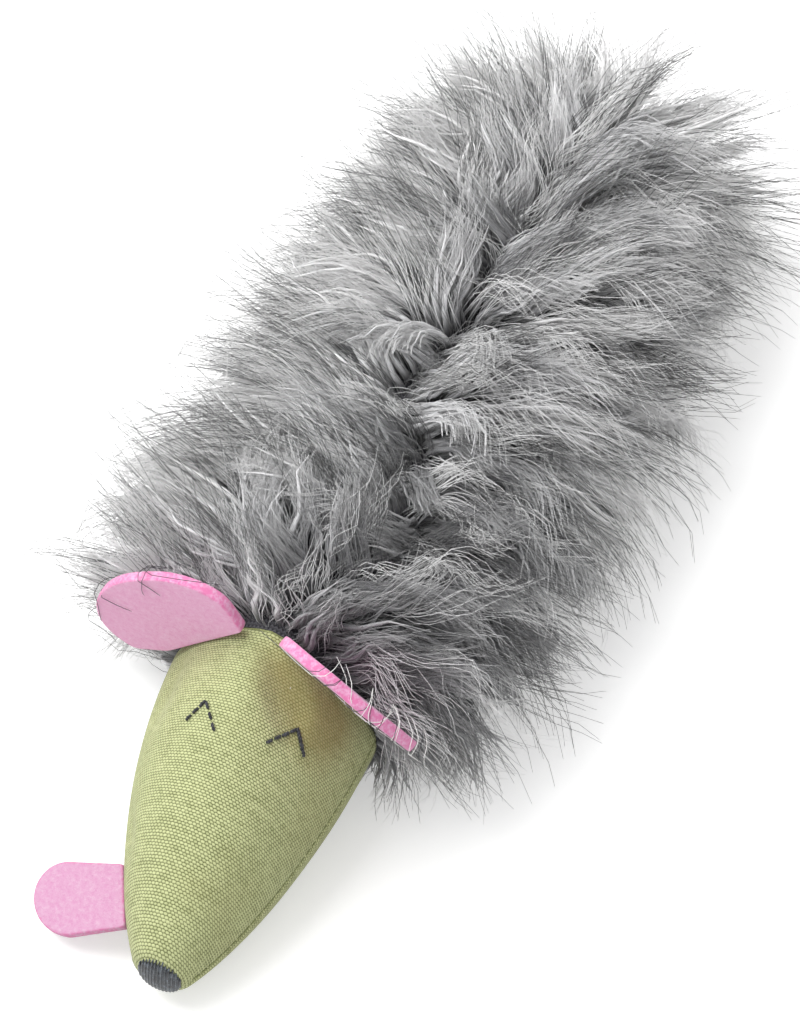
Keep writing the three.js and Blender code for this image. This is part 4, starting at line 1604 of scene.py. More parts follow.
@dataclass
class FeltFlap:
    """A flap cut from thick felt, sewn to the head along its straight root.

    Attributes:
        name: The CAD node that it stands for.
        felt: Its finish.
        origin: Where its root starts, in frame millimetres.
        along: The direction of the root, which is the axis that the flap folds about.
        across: The direction from the root to the tip.
        rim: The cut outline in the flap's own plane, in millimetres.
        curl: How far the tip curls out of the plane.
        cup: How far the two sides rise over the middle.
        front: Which face is the front one, 1 or -1.
        strays: The loose hairs that hang over its rim.
        edge: How the cut edge is rounded: distances from the rim, and shares of half the thickness.
        inside: The distance from the rim that the whole middle is given in the finish's map.
    """

    name: str
    felt: Material
    origin: Array
    along: Array
    across: Point
    rim: Array
    curl: float = 0.0
    cup: float = 0.0
    front: float = -1.0
    strays: tuple[Strays, ...] = ()
    thickness: float = 3.0
    edge: tuple[tuple[float, float], ...] = (
        (0.0, 0.0),
        (0.1, 0.75),
        (0.3, 0.94),
        (0.7, 1.0),
        (1.3, 1.0),
    )
    inside: float = 5.0
    rim_points: int = 132
    rings: int = 12
    seed: int = 1

    def build(self) -> None:
        """Builds and dresses the flap."""
        outline = self.resampled(self.rim_points)
        middle = outline.mean(axis=0)
        half = self.thickness / 2
        shrink = np.linspace(1, 0, self.rings + 1)[1:-1]
        inward = middle - outline
        inward /= norm(inward, axis=1, keepdims=True)
        last = outline + inward * self.edge[-1][0]
        rows = [(outline + inward * inset, rise, inset) for inset, rise in self.edge]
        rows += [(middle + (last - middle) * share, 1.0, self.inside) for share in shrink]
        rows = [(flat, -rise, inset) for flat, rise, inset in rows[:0:-1]] + rows
        count = len(outline)
        spots = [np.stack([np.full(count, inset), flat[:, 1]], axis=1) for flat, _, inset in rows]
        places = np.vstack([*spots, *[[self.inside, 0.0]] * 2])
        sewing = Sewing()
        faces = bands(len(rows), count)
        grid = np.stack([self.bent(flat, rise * half) for flat, rise, _ in rows])
        sewing.add(grid, faces, places[faces])
        sewing.points.append(np.vstack([self.bent(middle[None], side * half) for side in (-1, 1)]))
        k, nearby = np.arange(count), (np.arange(count) + 1) % count
        first, base = len(rows) * count, (len(rows) - 1) * count
        low = np.stack([nearby, k, np.full(count, first)], axis=1)
        high = np.stack([base + k, base + nearby, np.full(count, first + 1)], axis=1)
        sewing.join(low, places[low])
        sewing.join(high, places[high])
        mesh = sewing.mesh(self.name + "_felt", "rim")
        piece = add_piece(self.name + "_felt", mesh, self.felt)
        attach(piece, self.name + "_flap")
        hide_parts(self.name)
        report(piece)
        for hairs in self.strays:
            self.hang(hairs)

    def hang(self, hairs: Strays) -> None:
        """Lays loose hairs from behind the flap over its rim and down its front.

        Args:
            hairs: What they are like.
        """
        rng = np.random.default_rng(self.seed + hairs.count)
        half = self.thickness / 2
        share = np.linspace(0, 1, 15)
        stops = (0, 0.25, 0.36, 0.5, 1)
        routes, ups = [], []
        for _ in range(hairs.count):
            start = rng.uniform(*np.percentile(self.rim[:, 0], (20, 85)))
            top = self.rim[np.abs(self.rim[:, 0] - start) < 1.5, 1].max()
            down = rng.uniform(0.35, 1.0) * hairs.longest
            over = np.interp(share, stops, (-5, 0.2, 0.9, 0, -down))
            rise = np.interp(share, stops, (-3.5, -1.5, 0.2, 1.35, 1.2)) * half
            lean, bow = rng.uniform(-0.7, 0.7), rng.uniform(-2, 2)
            across = start + lean * (top - over) * share + bow * np.sin(share * 5.0)
            flat = np.stack([across, top + over], axis=1)
            routes.append(self.bent(flat, self.front * rise))
            ups.append(np.tile([0.0, 0.0, 1.0], (len(flat), 1)))
        name = f"{self.name}_{hairs.title}_hairs"
        lines = routes_mesh(name, routes, ups)
        radius = {"Radius": hairs.radius * MM, "Seed": self.seed}
        piece = LaidThreadTree().run(name, lines, hairs.finish, radius)
        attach(piece, self.name + "_flap")
        report(piece)

    def resampled(self, count: int) -> Array:
        """The rim at even steps, run against the clock, with its corners a little rounded."""
        closed = np.vstack([self.rim, self.rim[:1]])
        run = run_of(closed)
        even = at_run(np.linspace(0, run[-1], count, endpoint=False), run, closed)
        for _ in range(2):
            even = (np.roll(even, 1, axis=0) + 2 * even + np.roll(even, -1, axis=0)) / 4
        return even

    def bent(self, flat: Array, rise: Union[float, Array]) -> Array:
        """Points of the flap in the pattern's frame, after its curl and its cup.

        Args:
            flat: Places in the felt's plane.
            rise: The height over the middle of the felt.

        Returns:
            Points in pattern millimetres.
        """
        width = self.rim[:, 0].max() - self.rim[:, 0].min()
        height = self.rim[:, 1].max()
        centre = (self.rim[:, 0].max() + self.rim[:, 0].min()) / 2
        out = np.clip(flat[:, 1] / height, 0, 1)
        side = (flat[:, 0] - centre) / (width / 2)
        ripple = 0.16 * np.sin(flat[:, 0] * 0.31 + self.seed) * np.sin(flat[:, 1] * 0.27 + self.seed)
        lift = self.curl * out**2 + self.cup * side**2 * out + ripple * out
        v = np.array(self.across)
        n = np.cross(self.along, v)
        spot = flat[:, :1] * self.along + flat[:, 1:] * v + (rise + lift)[:, None] * n
        return spot + self.origin - PATTERN_ORIGIN


def ear_rim(root: float = 31.0, radius_x: float = 23.0, allowance: float = 1.6) -> Array:
    """The cut outline of an ear: part of an ellipse that overhangs its root on the outer side.

    Args:
        root: The length of the straight edge that is sewn in.
        radius_x: Half of the ear's width.
        allowance: How far the felt goes into the seam.

    Returns:
        Points in the felt's plane, in millimetres.
    """
    radius_y = 16.25
    centre = np.array([radius_x - 3.0, 8.25])
    start = -math.asin(min(0.9, 0.75 * centre[1] / radius_y))
    turns = np.linspace(start, math.pi + 0.05, 90)
    arc = centre + np.stack([radius_x * np.cos(turns), radius_y * np.sin(turns)], axis=1)
    return np.vstack([[0, -allowance], [root, -allowance], arc])


def tongue_rim(root: float = 16.1, allowance: float = 2.4) -> Array:
    """The cut outline of the tongue: straight sides, a round end, swept back.

    Args:
        root: The length of the straight edge that is sewn in.
        allowance: How far the felt goes into the seam.

    Returns:
        Points in the felt's plane, in millimetres.
    """
    length, radius, sweep = 22.5, 9.5, 3.0
    turns = np.linspace(0, math.pi, 48)
    y = length - radius + radius * np.sin(turns)
    x = root / 2 + radius * np.cos(turns) - sweep * y / length
    return np.vstack([[0, -allowance], [root, -allowance], np.stack([x, y], axis=1)])


# The sleeve


class Stretch(Enum):
    """The stretches of the sleeve, from the neck seam to the tail: name, end, ride or blend."""

    COLLAR_FRONT = ("collar_front", -75.2, ("neck", "head"))
    COLLAR_REAR = ("collar_rear", COLLAR_Y, ("front_body", "neck"))
    FRONT = ("front", WAIST_Y - 15, ("front_body",))
    WAIST = ("waist", WAIST_Y + 15, ("middle_body", "front_body"))
    MIDDLE = ("middle", RUMP_Y - 15, ("middle_body",))
    RUMP = ("rump", RUMP_Y + 15, ("rear_body", "middle_body"))
    REAR = ("rear", TAIL_Y, ("rear_body",))

    @property
    def title(self) -> str:
        """The stretch's name."""
        return self.value[0]

    @property
    def end(self) -> float:
        """Where it ends along the sleeve."""
        return self.value[1]

    @property
    def start(self) -> float:
        """Where it starts along the sleeve."""
        every = list(Stretch)
        place = every.index(self)
        return every[place - 1].end if place else NECK_Y + 0.6

    def attach(self, piece: Object) -> None:
        """Makes a piece follow its body, or bend between its two bodies.

        Args:
            piece: A piece of this stretch.
        """
        bodies = self.value[2]
        if len(bodies) == 1:
            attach(piece, bodies[0])
            return
        rear, front = (placed([BEND_X, y, BEND_Z]) for y in (self.end, self.start))
        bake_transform(piece, *bodies, start=tuple(rear), end=tuple(front))


BEND_X, BEND_Z = 2.0, 32.0
NODES_OF = {
    Stretch.COLLAR_FRONT: "collar",
    Stretch.FRONT: "front",
    Stretch.WAIST: "waist_fold",
    Stretch.MIDDLE: "middle",
    Stretch.RUMP: "rump_fold",
    Stretch.REAR: "rear",
}


@dataclass
class Sleeve:
    """The knitted ground of the fur, one filled skin cut into stretches."""

    wardrobe: Wardrobe
    pattern: SleevePattern = field(default_factory=SleevePattern)
    columns: int = 96
    row_step: float = 2.2
    dome_rows: int = 12
    thickness: float = 1.0
    pressure: float = 4.0
    most_swelling: float = 1.2

    def build(self) -> None:
        """Builds and dresses the ground of every stretch."""
        ys = [Stretch.COLLAR_FRONT.start]
        self.rows: dict[Stretch, tuple[int, int]] = {}
        dome = TAIL_Y - self.pattern.tail_rounding
        for stretch in Stretch:
            first = len(ys) - 1
            end = min(stretch.end, dome)
            if end > ys[-1]:
                count = max(2, round((end - ys[-1]) / self.row_step))
                ys += list(np.linspace(ys[-1], end, count + 1)[1:])
            if stretch is Stretch.REAR:
                turns = np.linspace(0, math.pi / 2, self.dome_rows + 1)[1:-1]
                ys += list(dome + self.pattern.tail_rounding * np.sin(turns))
            self.rows[stretch] = (first, len(ys) - 1)
        y = np.array(ys)[:, None]
        section = self.pattern.section(y)
        rings = even_rings(lambda angles: section.point(y, angles[None, :]), self.columns, 0.0)
        end = self.pattern.section(np.array(TAIL_Y))
        skin = Skin(rings, np.array([float(end.x), TAIL_Y, float(end.z)]))
        self.skin = skin.swollen(self.pressure, self.most_swelling)
        for stretch in Stretch:
            name = f"{stretch.title}_ground"
            mesh = self.skin.shell(name, *self.rows[stretch], self.thickness)
            piece = add_piece(name, mesh, self.wardrobe.knit_backing)
            stretch.attach(piece)
            if stretch in NODES_OF:
                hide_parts(f"{NODES_OF[stretch]}_backing")
            report(piece)


@dataclass(frozen=True)
class Coat:
    """One kind of strand in the pile.

    Attributes:
        title: Its name.
        strands: How many strands a square metre of the ground carries.
        spacing: The distance between the locks that the strands gather into, in millimetres.
        sides: How many sides a strand has.
        segments: How many points a strand has along it.
        length: A strand's length, as a share of the pile's length there.
        root: A strand's radius at the root, in millimetres.
        tip: The radius at the tip, as a share of the root's.
        clump: How far the strands of a lock gather at its tip, from 0 to 1.
        curl: How far a lock curves to a side.
        wave: The height of a lock's waves, in millimetres.
        frizz: How far single strands stray, in millimetres.
        droop: The share of the pile's bend that these strands take.
        tones: The darkest and the lightest tone.
        seed: The seed of everything random.
    """

    title: str
    strands: float
    spacing: float
    sides: int
    segments: int
    length: float
    root: float
    tip: float
    clump: float
    curl: float
    wave: float
    frizz: float
    droop: float
    tones: tuple[float, float]
    seed: int

    def inputs(self) -> dict[str, float]:
        """The numbers of this coat that the pile's tree takes, by title."""
        return {
            "Strands": self.strands,
            "Spacing": self.spacing * MM,
            "Length": self.length,
            "Root radius": self.root * MM,
            "Tip": self.tip,
            "Clump": self.clump,
            "Curl": self.curl,
            "Wave": self.wave * MM,
            "Frizz": self.frizz * MM,
            "Droop": self.droop,
            "Low tone": self.tones[0],
            "High tone": self.tones[1],
        }


STRAND_MAPS = ("strand", "OFBake")
COATS = (
    Coat("locks", 150e3, 7.0, 6, 7, 0.86, 0.9, 0.1, 0.6, 0.8, 2.4, 0.3, 1.0, (0.14, 0.76), 202),
    Coat("topcoat", 830e3, 7.0, 3, 7, 1.04, 0.15, 0.3, 0.84, 0.8, 2.4, 0.8, 1.0, (0.14, 1.0), 202),
    Coat("wisps", 260e3, 7.4, 3, 9, 1.12, 0.13, 0.3, 0.93, 0.8, 3.6, 0.7, 0.94, (0.9, 1.1), 404),
    Coat("guard", 190e3, 9.0, 3, 6, 1.36, 0.1, 0.5, 0.05, 0.4, 0.8, 1.6, 0.78, (0.02, 0.08), 303),
)


class PileTree(Shaper):
    """Strands of pile that grow from the ground, gather into locks, bend, wave and taper.

    Angles are in radians. Pile beside the head may pass further forward than the wall in front
    of the neck seam, and slack is how far past the box's first limit it may go in x, y and z.
    """

    crowding: float = 3.0
    strand_yaw: float = 0.22
    root_lift: float = 0.4
    least_turn: float = 0.12
    gather_power: float = 1.3
    wave_rise: float = 0.35
    frizz_scale: float = 160.0
    head_x_m: float = 0.012
    head_sides_m: tuple[float, float] = (0.036, 0.046)
    wall_spread_m: float = 0.03
    side_wall_m: float = 0.06
    spare_height_m: float = 0.008
    slack_m: Point = (0.0133, 0.018, 0.0198)
    brightest: float = 1.1

    def __init__(self) -> None:
        """Builds the whole tree."""
        super().__init__("pile", list(COATS[0].inputs()), ("Sides", "Segments"))
        self.finish(self.tubes(self.shaped(self.strands(self.locks()))))

    def scattered(self, method: str, inputs: dict[str, object], salt: int) -> NodeSocket:
        """Points over the ground, with the way out of it kept as "out".

        Args:
            method: How they are spread.
            inputs: The numbers that this method takes.
            salt: A number of its own, added to the tree's seed.

        Returns:
            The points.
        """
        node = self.add(
            "GeometryNodeDistributePointsOnFaces",
            {"distribute_method": method},
            {"Mesh": self.base(), "Seed": self.given("Seed") + float(salt), **inputs},
        )
        spots = self.out(node, "Points")
        return self.store(spots, "out", Arrow(self, self.out(node, "Normal")))

    def locks(self) -> NodeSocket:
        """The middles of the locks, spread evenly."""
        spacing = self.given("Spacing")
        most = spacing**-2.0 * self.crowding
        inputs = {"Distance Min": spacing, "Density Max": most, "Density Factor": 1.0}
        return self.scattered("POISSON", inputs, 1)

    def strands(self, locks: NodeSocket) -> NodeSocket:
        """The roots of the strands, with everything that each takes from its lock.

        Args:
            locks: The middles of the locks.

        Returns:
            The roots.
        """
        density = {"Density": self.given("Strands") * self.named("growth")}
        spots = self.scattered("RANDOM", density, 2)
        index = self.made("SampleNearest", {"Geometry": locks}, {"domain": "POINT"})

        def of_lock(source: Union[Value, Arrow]) -> Union[Value, Arrow]:
            """What a source is at the strand's own lock."""
            kind = "FLOAT_VECTOR" if isinstance(source, Arrow) else "FLOAT"
            inputs = {"Geometry": locks, "Value": source, "Index": index}
            settings = {"data_type": kind, "domain": "POINT"}
            return type(source)(self, self.made("SampleIndex", inputs, settings))

        out = of_lock(self.named_arrow("out")).unit()
        comb = of_lock(self.named_arrow("comb"))
        stray = self.named("stray")
        own_yaw = self.random(-self.strand_yaw, self.strand_yaw, 12)
        yaw = of_lock(self.random(-1.0, 1.0, 11)) * stray + own_yaw
        side = out.cross(comb).unit()
        flat = side.cross(out)
        way = (flat * yaw.cos() + side * yaw.sin()).unit()
        lift = of_lock(self.random(-0.2, 0.2, 13)) + self.random(-0.07, 0.07, 14)
        lock_length = of_lock(self.random(0.8, 1.1, 15))
        strand_length = self.random(0.0, 1.0, 16) ** 2.5 * 0.42 + 0.6
        lock_tone = of_lock(self.random(0.0, 1.0, 23))
        strand_tone = self.random(0.0, 1.0, 24)
        lock_curl = of_lock(self.random(-1.0, 1.0, 17)) * self.given("Curl")
        stored: dict[str, Union[Value, Arrow]] = {
            "root": self.position(),
            "gather": of_lock(self.position()) - self.position(),
            "up": out,
            "way": way,
            "side": out.cross(way),
            "bend0": self.named("bend0") + lift * self.root_lift,
            "bend1": (self.named("bend1") + lift) * self.given("Droop"),
            "span": self.named("reach") * self.given("Length") * lock_length * strand_length,
            "curl": lock_curl * (stray + 0.5),
            "phase": of_lock(self.random(0.0, 6.28, 18)) + self.random(-0.5, 0.5, 19),
            "beat": of_lock(self.random(4.0, 8.5, 20)),
            "level": self.random(0.3, 2.4, 21),
            "hold": self.random(0.8, 1.0, 22),
            # The ground's zones of painted light and shade, and the tufts' random tone, shift each strand's
            # tone.
            "tone": lock_tone * 0.6 + strand_tone * 0.4 + self.named("pale"),
            "strand_id": self.random(0.0, 900.0, 25),
        }
        for name, source in stored.items():
            spots = self.store(spots, name, source)
        return self.store(spots, "group", self.number(), kind="INT")

    def shaped(self, spots: NodeSocket) -> NodeSocket:
        """Curves from the roots: an arc from standing to lying, with waves and frizz.

        Args:
            spots: The roots, with what strands() stored on them.

        Returns:
            One curve for each strand.
        """
        segments = self.given("Segments")
        many = self.add(
            "GeometryNodeDuplicateElements",
            {"domain": "POINT"},
            {"Geometry": spots, "Amount": segments},
        )
        order = Value(self, self.out(many, "Duplicate Index"))
        points = self.store(self.out(many), "along", order / (segments - 1.0))
        s, span, strand = self.named("along"), self.named("span"), self.named("strand_id")
        bend0, bend1 = self.named("bend0"), self.named("bend1")
        turn = (bend1 - bend0).least(self.least_turn)
        angle = bend0 + turn * s
        rise = (angle.sin() - bend0.sin()) / turn * span
        run = (bend0.cos() - angle.cos()) / turn * span
        beat = (s * self.named("beat") + self.named("phase")).sin() * self.given("Wave") * s
        sideways = beat + self.named("curl") * s * s * span * 0.5
        gather = self.named("hold") * self.given("Clump") * s**self.gather_power
        place = (
            self.named_arrow("root")
            + self.named_arrow("gather") * gather
            + self.named_arrow("up") * (rise + beat * self.wave_rise)
            + self.named_arrow("way") * run
            + self.named_arrow("side") * sideways
        )
        drift = self.drift(place * self.frizz_scale + self.joined(strand, strand * 0.7, 0.0))
        kept = self.within(place + drift * (self.given("Frizz") * s * 4.0))
        moved = self.made("SetPosition", {"Geometry": points, "Position": kept})
        inputs = {"Points": moved, "Curve Group ID": self.named("group"), "Weight": s}
        return self.made("PointsToCurves", inputs)

    def within(self, place: Arrow) -> Arrow:
        """Keeps the strands over the floor, behind the face and inside the box they may fill.

        Args:
            place: Where a point of a strand would lie, in metres.

        Returns:
            Where it lies.
        """
        x, y, z = place.parts()
        beside = (x + self.head_x_m).size().step(*self.head_sides_m)
        behind_ear = z.step(0.03, 0.045) * x.step(0.0, -0.02)
        wall = (1.0 - self.named("hold")) * self.wall_spread_m
        wall = wall - beside * (1.0 - behind_ear) * self.side_wall_m
        wall = wall + float(placed([0.0, Stretch.COLLAR_FRONT.start + 0.1, 0.0])[1])
        far_corner = cad_box[1]
        reach = x.size().least(MM)
        x = x / reach * self.reined(reach, far_corner[0], self.slack_m[0])
        y = self.reined(y, far_corner[1], self.slack_m[1])
        z = self.reined(z, far_corner[2] - self.spare_height_m, self.slack_m[2])
        return self.joined(x, y.least(wall), z.least(self.named("level") * MM))

    def reined(self, place: Value, start: float, slack: float) -> Value:
        """A place that is held back more and more once it is past a start.

        Args:
            place: The place along one axis, in metres.
            start: Where it starts to be held back.
            slack: The furthest that it ever gets past the start.

        Returns:
            The place after the pull.
        """
        past = (place - start).least(0.0)
        return place - past + (past / slack).tanh() * slack

    def drift(self, place: Arrow) -> Arrow:
        """Smooth noise around zero at a place, as a vector."""
        node = self.add("ShaderNodeTexNoise", {}, {"Vector": place, "Scale": 1.0, "Detail": 1.0})
        return Arrow(self, node.outputs["Color"]) - (0.5, 0.5, 0.5)

    def tubes(self, curves: NodeSocket) -> NodeSocket:
        """Tubes along the curves, with the map that their finish reads.

        Args:
            curves: One curve for each strand.

        Returns:
            The tubes.
        """
        taper = 1.0 - self.named("along") ** 1.6 * (1.0 - self.given("Tip"))
        mesh = self.tube(curves, self.given("Sides"), self.given("Root radius") * taper)
        low, high = self.given("Low tone"), self.given("High tone")
        tone = low + self.named("tone").least(0.0).most(self.brightest) * (high - low)
        across = tone + (self.named("rim") - 0.5) * 0.004
        spot = self.joined(across, self.named("along"), 0.0)
        for layer in STRAND_MAPS:
            mesh = self.store(mesh, layer, spot, domain="CORNER", kind="FLOAT2")
        return mesh


class Zone(Enum):
    """Parts of the ground with soft edges: where each starts and is whole, across and along."""

    BEHIND_EARS = ((28, 10), (-42, -74))
    NAPE = (None, (-52, -78))
    LEFT = ((14, -18), None)
    LEFT_REAR = ((-4, -26), (20, 80))
    NEAR_RIGHT = ((4, 24), (0, -45))
    RIGHT = ((8, 26), (105, 75))
    RIGHT_TAIL = ((-4, 16), (76, 100))
    FAR = (None, (50, 100))
    BEFORE_TAIL = (None, (100, 78))

    def cover(self, x: Array, y: Array) -> Array:
        """How far each point belongs to the zone, from 0 to 1."""
        across, along = self.value
        over_x = eased(x, *across) if across else 1.0
        return over_x * eased(y, *along) if along else over_x


@dataclass
class Pile:
    """The long fur that grows from the sleeve's ground.

    Angles are in degrees from standing straight out of the ground; at 90 a strand lies flat. A
    table of two rows gives places along the sleeve and the values there. Three numbers are for
    the sides, the top and the belly, and a zone comes with how much it adds.
    """

    wardrobe: Wardrobe
    sleeve: Sleeve
    length: float = 45.0
    top_share: float = 0.93
    under_length: float = 13.0
    growth_length: float = 17.0
    first_share: float = 0.34
    parting_line: tuple[Sequence[float], Sequence[float]] = (
        (-85, -62, -45, -20, 10, 49, 108),
        (6, 14, 20, 6, 4, 8, 5),
    )
    parting_width: float = 5.0
    parting_reach: float = 11.0
    comb_to_tail: tuple[Sequence[float], Sequence[float]] = (
        (-85, -60, -25, 20, 70, 108),
        (-0.3, -0.3, -0.1, 0.05, 0.45, 1.3),
    )
    comb_up: float = -0.85
    comb_behind_ears: float = 1.3
    root_lean: Point = (6, 18, 62)
    tip_lean: Point = (68, 96, 88)
    tail_tip_lean: float = 66.0
    tuft_lean: float = 9.0
    tail_lift: float = 26.0
    growth: float = 0.9
    parting_growth: float = 1.4
    under_growth: float = 0.3
    stray: float = 0.26
    parting_stray: float = 0.5
    # Added to each strand's tone by zone: painted light on the left and at the far end, painted shade at the
    # near right.
    pale: tuple[tuple[Zone, float], ...] = (
        (Zone.LEFT, 0.42),
        (Zone.FAR, 0.4),
        (Zone.NEAR_RIGHT, -1.15),
    )
    longer: tuple[tuple[Zone, float], ...] = (
        (Zone.LEFT, -0.08),
        (Zone.LEFT_REAR, -0.28),
        (Zone.RIGHT, -0.24),
        (Zone.RIGHT_TAIL, 0.2),
    )

    def build(self) -> None:
        """Grows every coat on every stretch."""
        tree = PileTree()
        self.values = self.lie()
        for number, stretch in enumerate(Stretch):
            for coat in COATS:
                name = f"{stretch.title}_{coat.title}"
                scalp = self.scalp(name, *self.sleeve.rows[stretch])
                seed = coat.seed + 17 * number
                whole = {"Sides": coat.sides, "Segments": coat.segments, "Seed": seed}
                values = {**coat.inputs(), **whole}
                piece = tree.run(name, scalp, self.wardrobe.fur, values, keep=STRAND_MAPS)
                stretch.attach(piece)
                if coat.title == "topcoat" and stretch in NODES_OF:
                    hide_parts(f"{NODES_OF[stretch]}_fur")
                report(piece)

    def lie(self) -> dict[str, Array]:
        """How the pile lies at every point of the ground, under the names that the tree reads."""
        points, out = self.sleeve.skin.rings, self.sleeve.skin.normals
        x, y, up = points[..., 0], points[..., 1], out[..., 2]
        cover = {zone: zone.cover(x, y) for zone in Zone}
        top, under = eased(up, 0.2, 0.8), eased(-up, 0.15, 0.75)
        wander = 3.5 * np.sin(y * 0.21) + 2.0 * np.sin(y * 0.47 + 1.0)
        past = x - (np.interp(y, *self.parting_line) + wander)
        near = np.exp(-((past / self.parting_reach) ** 2)) * eased(up, 0.3, 0.8)
        near = near * cover[Zone.BEFORE_TAIL]
        tuft = np.sin(x * 0.17 + 2.1 * np.sin(y * 0.09)) * np.sin(y * 0.15 + 1.7 * np.sin(x * 0.1))
        behind_ears = cover[Zone.BEHIND_EARS]

        def by_height(sides: float, on_top: float, below: float) -> Array:
            """Mixes three numbers by which way the ground faces."""
            return lerp(lerp(sides, on_top, top), below, under)

        bend0 = np.radians(by_height(*self.root_lean)) * (1 - 0.7 * near)
        tail = eased(out[..., 1], 0.3, 0.9)
        bend1 = lerp(np.radians(by_height(*self.tip_lean)), np.radians(self.tail_tip_lean), tail)
        bend1 = bend1 * (1 - 0.35 * near) * (1 - 0.3 * behind_ears)
        # Darker along the parting and at the nape behind the ears as painted shade, with a random tone over
        # the tufts.
        pale = 0.24 - 0.5 * near + 0.2 * tuft - 0.4 * behind_ears * cover[Zone.NAPE]
        unseamed = np.maximum(0, 1 - (y - NECK_Y) / self.growth_length)
        grown = lerp(self.first_share, 1, np.sqrt(np.maximum(0, 1 - unseamed**2)))
        length = by_height(self.length, self.length * self.top_share, self.under_length)
        zones = 1 + sum(share * cover[zone] for zone, share in self.longer)
        return {
            "comb": self.combed(points, out, past, behind_ears),
            "bend0": bend0 + np.radians(self.tuft_lean) * tuft,
            "bend1": bend1 - np.radians(self.tail_lift) * cover[Zone.RIGHT_TAIL],
            "reach": length * grown * (1 - 0.3 * near) * (1 + 0.1 * tuft) * zones * MM,
            "growth": lerp(lerp(self.growth, self.parting_growth, near), self.under_growth, under),
            "stray": lerp(self.stray, self.parting_stray, near),
            "pale": pale + sum(share * cover[zone] for zone, share in self.pale),
        }

    def combed(self, points: Array, out: Array, past: Array, behind_ears: Array) -> Array:
        """Which way the pile is combed over the ground.

        Args:
            points: Points of the ground.
            out: The way out of the ground there.
            past: How far right of the parting they lie.
            behind_ears: How far they lie behind the ears, from 0 to 1.

        Returns:
            Directions along the ground.
        """
        x, y = points[..., 0], points[..., 1]
        forward = lerp(np.interp(y, *self.comb_to_tail), self.comb_behind_ears, behind_ears)
        away = np.tanh(past / self.parting_width) * (1 - 0.45 * behind_ears)
        wish = np.stack([away, forward, np.full_like(x, self.comb_up)], axis=2)
        flat = wish - np.sum(wish * out, axis=2, keepdims=True) * out
        flat /= np.maximum(norm(flat, axis=2, keepdims=True), 1e-6)
        swirl = 0.5 * np.sin(y * 0.11 + 1.3) * np.cos(x * 0.09 + y * 0.05)
        swirl = (swirl + 0.25 * np.sin(x * 0.2 + y * 0.23))[..., None]
        return flat * np.cos(swirl) + np.cross(out, flat) * np.sin(swirl)

    def scalp(self, name: str, first: int, last: int) -> Mesh:
        """The outer face of a stretch, with how the pile lies stored on its points.

        Args:
            name: The mesh's name.
            first: The stretch's first row on the sleeve.
            last: Its last row.

        Returns:
            The mesh that the pile grows from.
        """
        skin = self.sleeve.skin
        mesh = skin.outside(name, first, last)
        for title, value in self.values.items():
            part = value[first : last + 1]
            flat = part.reshape(-1, 3) if part.ndim == 3 else part.reshape(-1)
            if last == len(skin.rings) - 1:
                flat = np.concatenate([flat, flat[-1:]])
            keep_value(mesh, title, flat)
        mesh.uv_layers.remove(mesh.uv_layers["weave"])
        return mesh


# The rest


@dataclass
class Insides:
    """The solids inside the toy that keep their CAD shape and get a finish."""

    wardrobe: Wardrobe

    def build(self) -> None:
        """Dresses every CAD node that still shows."""
        slots = {row["node"]: row["material_slot"] for row in frame["record"]["subparts"]}
        for name, node in frame["nodes"].items():
            if node.hide_render:
                continue
            node.data.materials.clear()
            node.data.materials.append(getattr(self.wardrobe, slots[name]))
            log.info("dressed %s in %s", name, slots[name])


